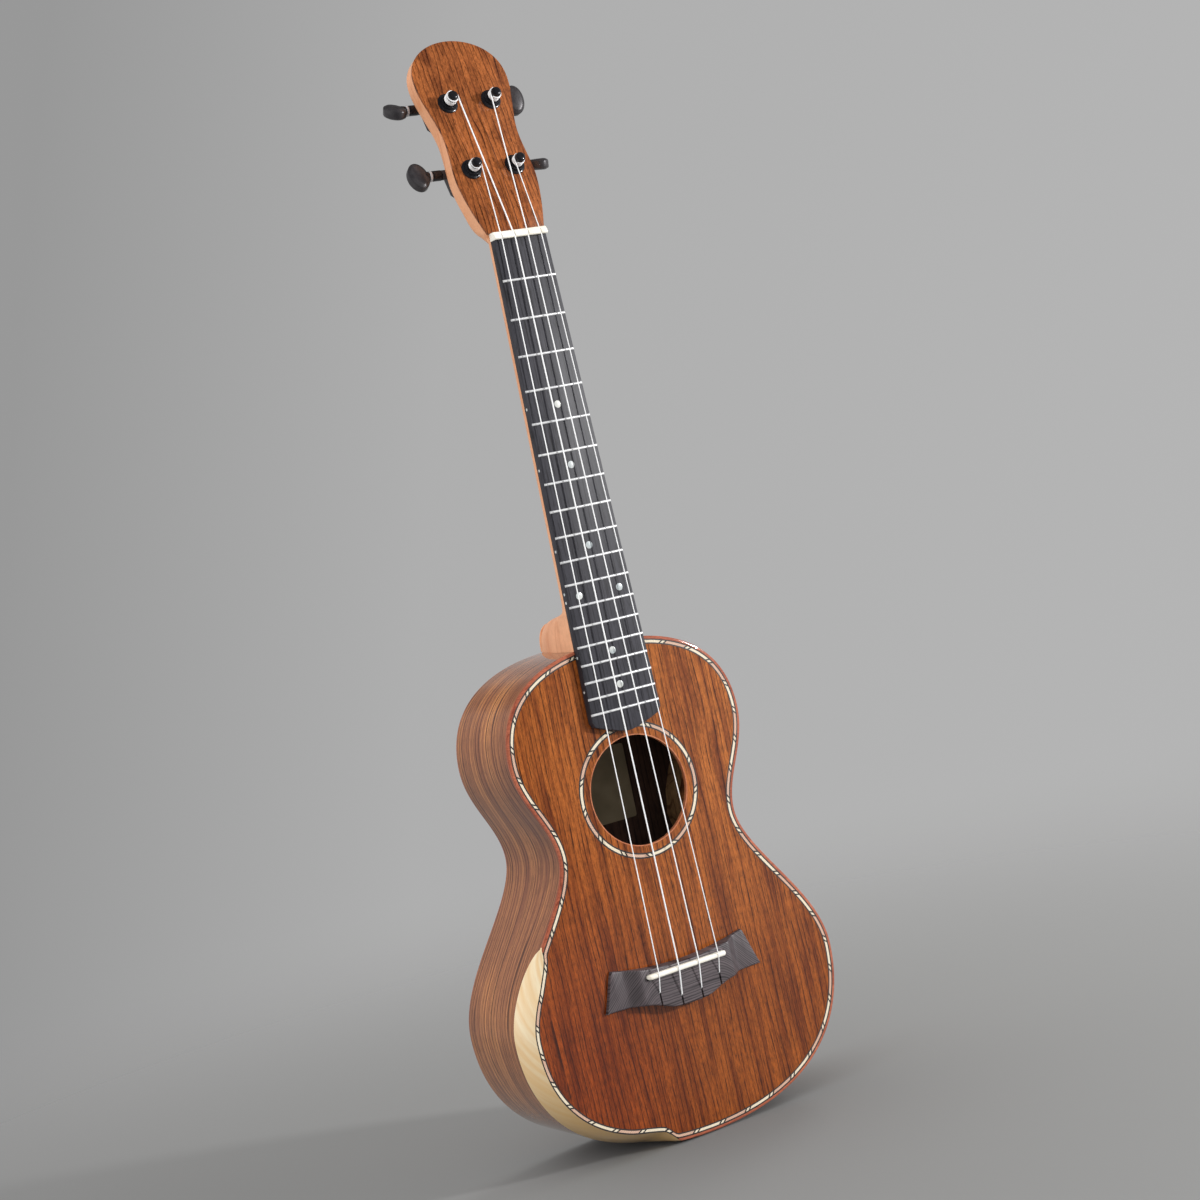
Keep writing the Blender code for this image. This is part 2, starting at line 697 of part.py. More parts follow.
def make_braces():
    under_top = TOP_THICKNESS + GAP
    over_back = BACK_THICKNESS + GAP
    above_hole = HOLE_Z + ROSETTE_OUTER + BRACE_WIDTH / 2
    below_hole = HOLE_Z - ROSETTE_OUTER - BRACE_WIDTH / 2
    place = between(under_top, under_top + BRACE_HEIGHT)
    loop = bar(above_hole, half_width(above_hole, BRACE_INSET), BRACE_WIDTH)
    new_object("upper_brace", slab("upper_brace", [loop], place), INNER_WOOD)
    loop = bar(below_hole, half_width(below_hole, BRACE_INSET), BRACE_WIDTH)
    fan = new_object("fan_bracing", slab("fan_bracing", [loop], place), INNER_WOOD)
    plate_low = SADDLE_Z - BRIDGE_DEPTH - BRIDGE_BULGE
    plate_high = SADDLE_Z + BRIDGE_LEAD + BRACE_WIDTH
    struts = []
    strut_end = TAIL_Z + STRUT_FROM_TAIL
    for lean in (-1, 0, 1):
        top_x = lean * STRUT_SPREAD_TOP
        end_x = lean * STRUT_SPREAD_END
        half = STRUT_WIDTH / 2
        struts.append([(top_x - half, below_hole), (end_x - half, strut_end),
                       (end_x + half, strut_end), (top_x + half, below_hole)])
    lower = slab("fan_struts", struts, between(under_top, under_top + STRUT_HEIGHT))
    boolean(fan, new_cutter("fan_struts", lower), "UNION")
    plate = rounded_rectangle(-BRIDGE_LENGTH / 2, BRIDGE_LENGTH / 2, plate_low, plate_high, PLATE_CORNER)
    place = between(under_top, under_top + PLATE_THICKNESS)
    new_object("bridge_plate", slab("bridge_plate", [plate], place), INNER_WOOD)
    seat = bmesh.new()
    reach = BRIDGE_LENGTH / 2 + MM
    add_box(seat, (-reach, 0, plate_low - GAP), (reach, under_top + PLATE_THICKNESS + GAP, plate_high + GAP))
    boolean(fan, new_cutter("plate_seat", as_mesh("plate_seat", seat)))
    place = between(behind(over_back + BRACE_HEIGHT), behind(over_back))
    for name, at in zip(("back_brace_upper", "back_brace_lower"), BACK_BRACES_AT):
        z = JOIN_Z - at
        loop = bar(z, half_width(z, BRACE_INSET), BRACE_WIDTH)
        new_object(name, slab(name, [loop], place), INNER_WOOD)
    loop = rounded_rectangle(-LABEL_WIDTH / 2, LABEL_WIDTH / 2, HOLE_Z - LABEL_HEIGHT / 2,
                             HOLE_Z + LABEL_HEIGHT / 2, LABEL_CORNER)
    place = between(behind(over_back + LABEL_THICKNESS), behind(over_back))
    new_object("label", slab("label", [loop], place), PAPER)


# The head's frame: distance from the centre line, distance from the nut along the face, depth behind it

def head_point(x, along, depth):
    sine = math.sin(HEAD_ANGLE)
    cosine = math.cos(HEAD_ANGLE)
    return Vector((x, -HEAD_STEP + along * sine + depth * cosine, along * cosine - depth * sine))


def head_half_width(along):
    """Half the head's width at a distance from the nut."""
    crown = HEAD_CROWN_WIDTH / 2
    waist = HEAD_WAIST_WIDTH / 2
    if along >= HEAD_CROWN_AT:
        share = min((along - HEAD_CROWN_AT) / HEAD_CROWN_LENGTH, 1.0)
        return crown * math.sqrt(max(1 - share ** 2.25, 0.0))
    if along >= HEAD_WAIST_AT:
        return blend(waist, crown, (along - HEAD_WAIST_AT) / (HEAD_CROWN_AT - HEAD_WAIST_AT))
    if along >= HEAD_SHOULDER_AT:
        share = (along - HEAD_SHOULDER_AT) / (HEAD_WAIST_AT - HEAD_SHOULDER_AT)
        return blend(HEAD_SHOULDER_WIDTH / 2, waist, share)
    share = 1 - max(along, 0) / HEAD_SHOULDER_AT
    return HEAD_SHOULDER_WIDTH / 2 - (HEAD_SHOULDER_WIDTH - NUT_WIDTH) / 2 * share ** 1.55


def head_stops():
    """Distances along the head, closer together round its tip."""
    stops = spread(HEAD_START, HEAD_CROWN_AT, 13)
    for i in range(7):
        stops.append(HEAD_CROWN_AT + HEAD_CROWN_LENGTH * math.sin(math.pi / 2 * i / 7))
    return stops


def section(half, depth, power, place, count=12):
    """A ring of points round the back of the neck, flat in front: place(x, depth) puts each one."""
    ring = []
    for i in range(count):
        turn = math.pi * i / (count - 1)
        x = math.cos(turn)
        y = math.sin(turn)
        ring.append(place(half * math.copysign(abs(x) ** (2 / power), x), depth * y ** (2 / power)))
    return ring


def board_half_width(z):
    return NUT_WIDTH / 2 + (BOARD_END_WIDTH - NUT_WIDTH) / 2 * (z / LAST_FRET_Z)


def neck_rings():
    """Sections from the head's tip down to the heel, square behind the head and round behind the neck."""
    rings = []
    front = VENEER + GAP
    head_depth = HEAD_THICKNESS - front
    last = HEAD_LENGTH - HEAD_TIP_CUT
    for along in reversed(head_stops() + [last]):
        half = max(head_half_width(along), head_half_width(last))
        swell = blend(VOLUTE_SWELL, 0, (along - HEAD_START) / VOLUTE_LENGTH)
        power = blend(3.0, 9.0, (along - HEAD_START) / (0.8 * VOLUTE_LENGTH))
        rings.append(section(half, head_depth + swell, power,
                             lambda x, d, a=along: head_point(x, a, front + d)))
    heel_top = JOIN_Z + HEEL_CURVE[0][0]
    for z in [0.0, heel_top / 33] + spread(heel_top / 14, heel_top, 6):
        depth = NECK_DEPTH_NUT + (NECK_DEPTH_HEEL - NECK_DEPTH_NUT) * z / heel_top
        rings.append(section(board_half_width(z), depth, NECK_ROUNDNESS, lambda x, d, z=z: Vector((x, d, z))))
    for above, share in HEEL_CURVE:
        z = JOIN_Z + above
        depth = NECK_DEPTH_HEEL + (HEEL_REACH - NECK_DEPTH_HEEL) * share
        power = blend(NECK_ROUNDNESS, HEEL_ROUNDNESS, share * 1.6)
        rings.append(section(board_half_width(z), depth, power, lambda x, d, z=z: Vector((x, d, z))))
    return rings


def make_neck():
    work = bmesh.new()
    add_loft(work, neck_rings())
    everything = work.verts[:] + work.edges[:] + work.faces[:]
    bmesh.ops.bisect_plane(work, geom=everything, dist=0.000001, plane_co=(0, HEEL_CUT, 0),
                           plane_no=(0, 1, 0), clear_outer=True)
    rim_edges = [edge for edge in work.edges if len(edge.link_faces) == 1]
    bmesh.ops.holes_fill(work, edges=rim_edges)
    foot = [corner.co.copy() for corner in work.verts if abs(corner.co.y - HEEL_CUT) < 0.00001]
    neck = new_object("neck", as_mesh("neck", work), NECK_WOOD)
    holes = bmesh.new()
    for side in (-1, 1):
        for row in POST_ROWS:
            x = side * POST_OFFSET
            add_cylinder(holes, head_point(x, row, -MM), head_point(x, row, HEAD_THICKNESS + MM),
                         POST_RADIUS + 2 * GAP, 16)
    cutter = new_cutter("head_holes", as_mesh("head_holes", holes))
    boolean(neck, cutter)
    edge = [(head_half_width(along), along) for along in head_stops()]
    loop = edge + [(0, HEAD_LENGTH)] + [(-x, along) for x, along in edge[::-1]]
    veneer = slab("head_veneer", [loop], lambda x, along, side: head_point(x, along, (0, VENEER)[side]))
    boolean(new_object("head_veneer", veneer, FACE_WOOD), cutter)
    half = max(point.x for point in foot)
    front = max(point.z for point in foot)
    back = JOIN_Z + GAP
    arc = [math.pi * i / 12 for i in range(13)]
    loop = [(half * math.cos(a), back + (front - back) * math.sin(a) ** 0.8) for a in arc]
    place = between(HEEL_CUT + GAP, HEEL_CUT + GAP + HEEL_CAP_THICKNESS)
    new_object("heel_cap", slab("heel_cap", [loop], place), NECK_WOOD)


def make_fingerboard():
    end = LAST_FRET_Z - BOARD_OVERHANG
    half = board_half_width(end)
    side = [(board_half_width(-GAP), -GAP), (half, end)]
    side += [(half * 0.94, end - 0.32 * BOARD_POINT), (half * 0.66, end - 0.59 * BOARD_POINT),
             (half * 0.22, end - 0.92 * BOARD_POINT)]
    loop = side + [(0, end - BOARD_POINT)] + [(-x, z) for x, z in side[::-1]]
    board = new_object("fingerboard", slab("fingerboard", [loop], between(BOARD_TOP, -GAP)), DARK_WOOD)
    boolean(board, new_cutter("frets", fret_mesh()), "UNION")


def fret_mesh():
    """All frets: half round on top, chamfered at both ends, their feet in the fingerboard."""
    work = bmesh.new()
    for number in range(1, FRET_COUNT + 1):
        z = fret_z(number)
        half = board_half_width(z)
        ends = []
        for side in (-1, 1):
            edge = side * (half - FRET_INSET)
            ring = [Vector((edge, BOARD_TOP + FRET_FOOT, z - FRET_WIDTH / 2)),
                    Vector((edge, BOARD_TOP + FRET_FOOT, z + FRET_WIDTH / 2))]
            for i in range(5):
                turn = math.pi * i / 4
                height = FRET_HEIGHT * math.sin(turn)
                x = edge - side * FRET_BEVEL * height
                ring.append(Vector((x, BOARD_TOP - height, z + FRET_WIDTH / 2 * math.cos(turn))))
            ends.append(ring)
        add_loft(work, ends)
    return as_mesh("frets", work)


# Strings

def string_side(i):
    """The string's place across, counted from the middle: -1.5, -0.5, 0.5, 1.5."""
    return i - 1.5


def tuner_of(i):
    """Which side and which row of posts a string goes to."""
    side = -1 if i < 2 else 1
    row = 0 if i in (0, 3) else 1
    return side, row


def coil_radius(i):
    return POST_NECK_RADIUS + GAP + STRING_DIAMETERS[i] / 2


def coil_pitch(i):
    return STRING_DIAMETERS[i] + COIL_CLEARANCE


def coil_low(i):
    """Height of the winding's lowest turn above the head's face."""
    return BUSHING_HEIGHT + 2 * GAP + STRING_DIAMETERS[i] / 2 + COIL_START


def wrap_height(i):
    """Height of the still wrap, above the turns that ride on the post."""
    return coil_low(i) + (COIL_TURNS + 1) * coil_pitch(i)


def nut_point(i):
    return Vector((string_side(i) * STRING_NUT_SPACING, BOARD_TOP - STRING_OVER_BOARD, 0))


def saddle_point(i):
    return Vector((string_side(i) * STRING_SADDLE_SPACING,
                   -(SADDLE_HEIGHT + GAP + STRING_DIAMETERS[i] / 2), SADDLE_Z))


def tangent(i):
    """Angle on the post where the string arrives, and the way it winds: seen from the front."""
    side, row = tuner_of(i)
    start = nut_point(i)
    centre = Vector((side * POST_OFFSET, POST_ROWS[row]))
    away = Vector((start.x, 0)) - centre
    reach = math.acos(coil_radius(i) / away.length)
    turn = math.atan2(away.y, away.x) - side * reach
    return turn, -side


def post_ring(i, turn, height, radius):
    side, row = tuner_of(i)
    x = side * POST_OFFSET + radius * math.cos(turn)
    along = POST_ROWS[row] + radius * math.sin(turn)
    return head_point(x, along, -height)


def least_gap(points, diameter):
    """The least gap of a wound tube to itself, measured between points a full turn apart or more."""
    best = 1.0
    for i, first in enumerate(points):
        for second in points[i + LOOP_POINTS * 2 // 3:]:
            best = min(best, (first - second).length - diameter)
    return best


def make_string(i):
    """The string from its bridge slot to its post, with the wrap that stays still."""
    diameter = STRING_DIAMETERS[i]
    over = saddle_point(i)
    run = SLOT_STARTS[i]
    entry = Vector((over.x, -BRIDGE_HEIGHT - diameter / 2, over.z - run))
    slope = (entry.y - over.y) / run
    end = entry + Vector((0, slope * STRING_TAIL, -STRING_TAIL))
    turn, way = tangent(i)
    height = wrap_height(i)
    steps = round(LOOP_POINTS * STILL_TURN / 360)
    wrap = [post_ring(i, turn + way * math.radians(STILL_TURN) * k / steps, height, coil_radius(i))
            for k in range(steps + 1)]
    points = [end, entry, over, nut_point(i)] + wrap
    new_object(f"string_{i + 1}", tube(f"string_{i + 1}", points, diameter), NYLON)


def make_winding(i):
    """The turns that ride on the post, from under the still wrap down into the post's hole."""
    diameter = STRING_DIAMETERS[i]
    radius = coil_radius(i)
    turn, way = tangent(i)
    first = turn + way * math.radians(STILL_TURN)
    steps = COIL_TURNS * LOOP_POINTS
    top = wrap_height(i) - coil_pitch(i)
    points = []
    for k in range(steps + 1):
        angle = first + way * 2 * math.pi * k / LOOP_POINTS
        points.append(post_ring(i, angle, top - coil_pitch(i) * k / LOOP_POINTS, radius))
    last = first + way * 2 * math.pi * (steps + 3) / LOOP_POINTS
    low = top - coil_pitch(i) * COIL_TURNS
    print(f"winding {i + 1}: least gap to itself {least_gap(points, diameter) / MM:.2f} mm")
    before = last - way * 2 * math.pi / LOOP_POINTS
    points.append(post_ring(i, before, low, radius * 0.97))
    points.append(post_ring(i, last, low, radius * 0.84))
    points.append(post_ring(i, last, low, 0.4 * POST_NECK_RADIUS))
    return points, last, low


def hole_cutter(i, angle, height):
    """The post's cross hole for the string."""
    work = bmesh.new()
    radius = STRING_DIAMETERS[i] / 2 + 2 * GAP
    start = post_ring(i, angle, height, 2 * POST_RADIUS)
    end = post_ring(i, angle, height, 0)
    add_cylinder(work, start, end, radius, 8)
    return new_cutter(f"string_hole_{i + 1}", as_mesh(f"string_hole_{i + 1}", work))


def make_nut_and_saddle():
    top = BOARD_TOP - NUT_HEIGHT
    half = NUT_WIDTH / 2 + NUT_OVERHANG
    profile = ((0, -GAP), (0, top + 0.8 * NUT_EDGE), (NUT_EDGE, top),
               (NUT_DEPTH * 0.45, top + 0.09 * NUT_FALL), (NUT_DEPTH * 0.85, top + 0.55 * NUT_FALL),
               (NUT_DEPTH, top + NUT_FALL), (NUT_DEPTH, -GAP))
    rings = [[Vector((side * half, y, z)) for z, y in profile] for side in (-1, 1)]
    nut = new_object("nut", loft("nut", rings), BONE)
    slots = bmesh.new()
    for i, diameter in enumerate(STRING_DIAMETERS):
        start = nut_point(i)
        turn, _ = tangent(i)
        end = post_ring(i, turn, wrap_height(i), coil_radius(i))
        beyond = start.lerp(end, 1.6 * NUT_DEPTH / (end.z - start.z))
        under = Vector((0, diameter / 2 + GAP, 0))
        over = Vector((0, -6 * MM, 0))
        aside = Vector((diameter / 2 + GAP, 0, 0))
        before = start + Vector((0, 0, -2 * MM))
        rings = []
        for middle in (before, start, beyond):
            rings.append([middle - aside + under, middle + aside + under, middle + aside + over,
                          middle - aside + over])
        add_loft(slots, rings)
    boolean(nut, new_cutter("nut_slots", as_mesh("nut_slots", slots)))
    base = -(BRIDGE_HEIGHT - SADDLE_SEAT)
    crown = -SADDLE_HEIGHT
    thick = SADDLE_WIDTH / 2
    length = SADDLE_LENGTH / 2
    rings = []
    for side in (-1, 1):
        for along, fall in ((0, 1), (0.38, 0.42), (1, 0))[::-side]:
            x = side * (length - along * SADDLE_END)
            top = crown + fall * SADDLE_END
            rings.append([Vector((x, y, SADDLE_Z + z)) for z, y in
                          ((-thick, base), (-thick, top + SADDLE_CROWN), (-thick / 2, top + SADDLE_CROWN / 4),
                           (0, top), (thick / 2, top + SADDLE_CROWN / 4), (thick, top + SADDLE_CROWN),
                           (thick, base))])
    new_object("saddle", loft("saddle", rings), BONE)


def bridge_edges(x):
    """The bridge's front and back edges at a distance from the middle."""
    corner = BRIDGE_TOP_LENGTH / 2
    tip = BRIDGE_LENGTH / 2
    front_mid = SADDLE_Z + BRIDGE_LEAD
    front_corner = front_mid + BRIDGE_DIP
    back_line = front_mid - BRIDGE_DEPTH
    back = back_line - BRIDGE_BULGE / (1 + (x / BRIDGE_BULGE_HALF) ** 4)
    if abs(x) <= corner:
        return front_mid + BRIDGE_DIP * (x / corner) ** 2, back
    share = (abs(x) - corner) / (tip - corner)
    return front_corner + (back - front_corner) * share, back


def bridge_height(x):
    return blend(BRIDGE_HEIGHT, WING_HEIGHT, (abs(x) - BLOCK_HALF) / WING_SLOPE)


def make_bridge():
    half = BRIDGE_LENGTH / 2
    stops = [share * BLOCK_HALF for share in (0, 0.23, 0.43, 0.6, 0.77, 0.9)]
    stops += spread(BLOCK_HALF, BLOCK_HALF + WING_SLOPE, 3)
    stops += [BLOCK_HALF + WING_SLOPE, BRIDGE_TOP_LENGTH / 2, half - WING_TIP, half - 0.15 * WING_TIP]
    rings = []
    for x in [-stop for stop in stops[:0:-1]] + stops:
        front, back = bridge_edges(x)
        height = bridge_height(x)
        edge = min(BRIDGE_EDGE, (front - back) / 4)
        profile = ((front, -GAP), (front, -height + edge), (front - edge, -height), (back + edge, -height),
                   (back, -height + edge), (back, -GAP))
        rings.append([Vector((x, y, z)) for z, y in profile])
    bridge = new_object("bridge", loft("bridge", rings), DARK_WOOD)
    seat = bmesh.new()
    reach = SADDLE_LENGTH / 2 + GAP
    thick = SADDLE_WIDTH / 2 + GAP
    add_box(seat, (-reach, -BRIDGE_HEIGHT - MM, SADDLE_Z - thick),
            (reach, -BRIDGE_HEIGHT + SADDLE_SEAT + GAP, SADDLE_Z + thick))
    for i in range(4):
        x = saddle_point(i).x
        front = SADDLE_Z - SLOT_STARTS[i] + MM
        back = SADDLE_Z - BRIDGE_DEPTH - BRIDGE_BULGE - MM
        add_box(seat, (x - SLOT_WIDTH / 2, -BRIDGE_HEIGHT - MM, back),
                (x + SLOT_WIDTH / 2, -BRIDGE_HEIGHT + SLOT_DEPTH, front))
    boolean(bridge, new_cutter("bridge_slots", as_mesh("bridge_slots", seat)))


# Tuners: each is built round its post, local X towards its button, local Z out of the head's face

def tuner_frame(side, row):
    """The empty on a post's axis, at the head's face."""
    out = Vector((side, 0, 0))
    normal = Vector((0, -math.cos(HEAD_ANGLE), math.sin(HEAD_ANGLE)))
    third = normal.cross(out)
    place = head_point(side * POST_OFFSET, POST_ROWS[row], 0)
    frame = Matrix((out, third, normal)).transposed().to_4x4()
    made = bpy.data.objects.new(f"tuner_{tuner_number(side, row)}_frame", None)
    BODY_COLLECTION.objects.link(made)
    made.matrix_world = Matrix.Translation(place) @ frame
    return made


def tuner_number(side, row):
    """Tuners are numbered as their strings are, from the left."""
    return {(-1, 0): 1, (-1, 1): 2, (1, 1): 3, (1, 0): 4}[(side, row)]


def case_outline(hand, inset):
    """The casing's outline round gear and worm."""
    far = CENTRE_DISTANCE + WORM_PITCH_RADIUS + THREAD_DEPTH + CASE_WALL + 2 * GAP
    near = -CASE_HALF_WIDTH
    low, high = (near, far) if hand > 0 else (-far, -near)
    return rounded_rectangle(-CASE_HALF_WIDTH + inset, CASE_HALF_WIDTH - inset, low + inset, high - inset,
                             CASE_CORNER - inset * 0.5)


def make_housing(number, hand, parent):
    back = CASE_FRONT - CASE_DEPTH
    worm_y = hand * CENTRE_DISTANCE
    levels = (CASE_FRONT, back)
    shell = slab("housing", [case_outline(hand, 0)], lambda u, v, side: Vector((u, v, levels[side])))
    housing = new_object(f"tuner_housing_{number}", shell, BLACK_METAL, parent)
    lug = bmesh.new()
    ends = sorted((hand * (SCREW_ALONG - LUG_END), -hand * (CASE_HALF_WIDTH - 3 * JOINED)))
    add_box(lug, (-LUG_HALF_WIDTH, ends[0], CASE_FRONT - FLANGE_THICKNESS),
            (LUG_HALF_WIDTH, ends[1], CASE_FRONT - 0.02 * MM))
    boolean(housing, new_cutter(f"lug_{number}", as_mesh("lug", lug), parent), "UNION")
    sleeve = bmesh.new()
    add_cylinder(sleeve, (CASE_HALF_WIDTH - JOINED, worm_y, WORM_DEPTH),
                 (CASE_HALF_WIDTH + SLEEVE_LENGTH, worm_y, WORM_DEPTH), SLEEVE_RADIUS, 12)
    boolean(housing, new_cutter(f"sleeve_{number}", as_mesh("sleeve", sleeve), parent), "UNION")
    inner = (CASE_FRONT + MM, back + CASE_WALL)
    hollow = slab("hollow", [case_outline(hand, CASE_WALL)], lambda u, v, side: Vector((u, v, inner[side])))
    boolean(housing, new_cutter(f"hollow_{number}", hollow, parent))
    bores = bmesh.new()
    add_cylinder(bores, (CASE_HALF_WIDTH - CASE_WALL - MM, worm_y, WORM_DEPTH),
                 (CASE_HALF_WIDTH + SLEEVE_LENGTH + MM, worm_y, WORM_DEPTH), SHAFT_RADIUS + GAP, 12)
    add_cylinder(bores, (0, hand * SCREW_ALONG, CASE_FRONT - FLANGE_THICKNESS - MM),
                 (0, hand * SCREW_ALONG, CASE_FRONT + MM), SCREW_RADIUS + GAP, 8)
    boolean(housing, new_cutter(f"bores_{number}", as_mesh("bores", bores), parent))


def make_bushing(number, parent):
    bore = POST_RADIUS + GAP
    edge = BUSHING_EDGE
    flange = GAP + BUSHING_FLANGE
    profile = [(BUSHING_COLLAR - edge, BUSHING_HEIGHT), (BUSHING_COLLAR, BUSHING_HEIGHT - edge),
               (BUSHING_COLLAR, flange), (BUSHING_RADIUS - edge / 2, flange - edge / 4),
               (BUSHING_RADIUS, flange - edge), (BUSHING_RADIUS, GAP), (bore, GAP), (bore, BUSHING_HEIGHT)]
    new_object(f"bushing_{number}", turned("bushing", profile, 12, closed=True), BLACK_METAL, parent)


def make_post(i, parent, angle, height):
    neck = POST_NECK_RADIUS
    full = POST_RADIUS
    low = coil_low(i) - STRING_DIAMETERS[i] / 2 - GAP
    high = wrap_height(i) + STRING_DIAMETERS[i] / 2 + GAP
    tip = max(POST_HEIGHT, high + POST_TIP)
    foot = CASE_FRONT - CASE_DEPTH + CASE_WALL + GAP
    profile = [(0, tip), (full * 0.55, tip - 0.1 * POST_CROWN), (full * 0.88, tip - 0.5 * POST_CROWN),
               (full, tip - POST_CROWN), (neck, high), (neck, low), (full, low - GAP), (full, foot),
               (0, foot)]
    post = new_object(f"post_{i + 1}", turned("post", profile, 12), BLACK_METAL, parent)
    boolean(post, hole_cutter(i, angle, height))


def make_gear(number, parent):
    """Teeth slanted to the worm's lead, one of them pointing at the worm."""
    half_tooth = TOOTH_HALF_THICKNESS / GEAR_RADIUS
    root = GEAR_RADIUS - THREAD_DEPTH - GAP
    tip = GEAR_RADIUS + TOOTH_TIP
    teeth = []
    for k in range(GEAR_TEETH):
        middle = math.pi / 2 + 2 * math.pi * k / GEAR_TEETH
        for radius, turn in ((root, -1.7), (tip, -0.75), (tip, 0.75), (root, 1.7)):
            angle = middle + turn * half_tooth
            teeth.append((radius * math.cos(angle), radius * math.sin(angle)))
    slant = THREAD_PITCH / (2 * math.pi * WORM_PITCH_RADIUS * GEAR_RADIUS)

    def place(u, v, side):
        height = (GEAR_THICKNESS / 2, -GEAR_THICKNESS / 2)[side]
        turn = slant * height
        x = u * math.cos(turn) - v * math.sin(turn)
        y = u * math.sin(turn) + v * math.cos(turn)
        return Vector((x, y, WORM_DEPTH + height))
    gear = slab("gear", [teeth, circle(POST_RADIUS + GAP, 12)], place)
    new_object(f"gear_{number}", gear, BRASS, parent)


def make_worm(number, hand, parent):
    """The button's shaft with its worm thread: origin on its own axis."""
    end = BUTTON_CENTRE - POST_OFFSET - BUTTON_LENGTH / 2 + BUTTON_SOCKET - GAP
    core = bmesh.new()
    start = -(CASE_HALF_WIDTH - CASE_WALL - GAP)
    add_cylinder(core, (start, 0, 0), (end, 0, 0), SHAFT_RADIUS, THREAD_SIDES)
    shaft = new_object(f"worm_{number}", as_mesh("worm", core), SILVER, parent)
    shaft.location = (0, hand * CENTRE_DISTANCE, WORM_DEPTH)
    thread = bmesh.new()
    first = 0.0 if hand > 0 else THREAD_PITCH / 2
    tip = WORM_PITCH_RADIUS + THREAD_DEPTH
    inner = SHAFT_RADIUS * 0.8
    wide = THREAD_PITCH * 0.30
    rings = []
    steps = WORM_TURNS * THREAD_SIDES
    for k in range(steps + 1):
        turn = 2 * math.pi * (k - steps / 2) / THREAD_SIDES
        x = first + THREAD_PITCH * turn / (2 * math.pi)
        fade = min(k, steps - k) / 2
        high = inner + (tip - inner) * min(0.45 + 0.55 * fade, 1.0)
        ring = []
        for radius, aside in ((high, 0.14), (high, -0.14), (inner, -1), (inner, 1)):
            ring.append(Vector((x + aside * wide, radius * math.cos(turn), radius * math.sin(turn))))
        rings.append(ring)
    add_loft(thread, rings)
    cutter = new_cutter(f"thread_{number}", as_mesh("thread", thread), parent)
    cutter.location = shaft.location
    boolean(shaft, cutter, "UNION")


def make_button(number, hand, parent, degrees):
    shares = (0.0, 0.07, 0.22, 0.5, 0.78, 0.93, 1.0)
    swell = (0.50, 0.76, 0.95, 1.0, 0.95, 0.76, 0.50)
    rings = []
    for share, size in zip(shares, swell):
        x = (share - 0.5) * BUTTON_LENGTH
        ring = []
        for k in range(12):
            turn = 2 * math.pi * k / 12
            ring.append(Vector((x, BUTTON_WIDTH / 2 * size * math.cos(turn),
                                BUTTON_THICKNESS / 2 * size * math.sin(turn))))
        rings.append(ring)
    button = new_object(f"button_{number}", loft("button", rings), BLACK_METAL, parent)
    button.location = (BUTTON_CENTRE - POST_OFFSET, hand * CENTRE_DISTANCE, WORM_DEPTH)
    button.rotation_euler = (math.radians(degrees), 0, 0)
    socket = bmesh.new()
    add_cylinder(socket, (-BUTTON_LENGTH / 2 - MM, 0, 0), (-BUTTON_LENGTH / 2 + BUTTON_SOCKET, 0, 0),
                 SHAFT_RADIUS + GAP, 12)
    cutter = new_cutter(f"socket_{number}", as_mesh("socket", socket), parent)
    cutter.location = button.location
    boolean(button, cutter)


def make_tuners():
    for i in range(4):
        side, row = tuner_of(i)
        parent = tuner_frame(side, row)
        number = tuner_number(side, row)
        make_housing(number, side, parent)
        make_bushing(number, parent)
        points, angle, height = make_winding(i)
        make_post(i, parent, angle, height)
        winding = tube("winding", points, STRING_DIAMETERS[i])
        winding.transform(parent.matrix_world.inverted())
        new_object(f"winding_{number}", winding, NYLON, parent)
        make_gear(number, parent)
        make_worm(number, side, parent)
        make_button(number, side, parent, REST_TURNS[i])
        make_string(i)


make_sides()
make_top()
make_edge_trim()
make_bevel()
make_inside()
make_back()
make_braces()
make_neck()
make_fingerboard()
make_nut_and_saddle()
make_bridge()
make_tuners()
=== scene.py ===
import bisect
import math

import bpy
from mathutils import Matrix, Vector


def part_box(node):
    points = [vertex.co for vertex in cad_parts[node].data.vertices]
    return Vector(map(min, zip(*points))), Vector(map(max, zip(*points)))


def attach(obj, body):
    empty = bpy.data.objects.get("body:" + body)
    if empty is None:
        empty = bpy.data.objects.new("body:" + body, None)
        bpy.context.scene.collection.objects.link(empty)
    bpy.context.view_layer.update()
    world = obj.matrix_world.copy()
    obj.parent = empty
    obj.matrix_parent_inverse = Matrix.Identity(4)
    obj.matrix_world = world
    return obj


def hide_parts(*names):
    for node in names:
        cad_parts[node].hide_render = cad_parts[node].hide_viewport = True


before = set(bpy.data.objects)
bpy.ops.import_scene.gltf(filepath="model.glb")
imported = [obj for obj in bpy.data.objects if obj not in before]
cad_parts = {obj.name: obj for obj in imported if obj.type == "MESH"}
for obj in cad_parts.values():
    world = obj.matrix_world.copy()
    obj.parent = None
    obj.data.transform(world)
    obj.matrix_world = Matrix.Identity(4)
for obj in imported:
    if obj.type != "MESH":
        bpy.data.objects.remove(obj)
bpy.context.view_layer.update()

# Lengths are in millimetres until a corner is placed; +Z runs to the head, -Y is the front.
MM = 0.001
MERGE = 0.002 * MM
SCALE_LENGTH = 430.0
BODY_LENGTH = 292.1
NECK_DEPTH = 66.0  # of the body, at the neck
TAIL_DEPTH = 75.0
UPPER_HALF, UPPER_AT = 78.7, 55.9  # half widths, and how far below the neck joint they lie
WAIST_HALF, WAIST_AT = 60.7, 114.5
LOWER_HALF, LOWER_AT = 106.8, 209.9
SHEET = 2.4  # soundboard and back plate
HOLE_RADIUS = 32.0
HOLE_AT = 88.4
PURFLING = 3.0
STRIP_LENGTH = 861.6  # the marquetry round the body
ROSETTE_RADII = (36.6, 39.9)
BINDING_WIDTH = 1.8
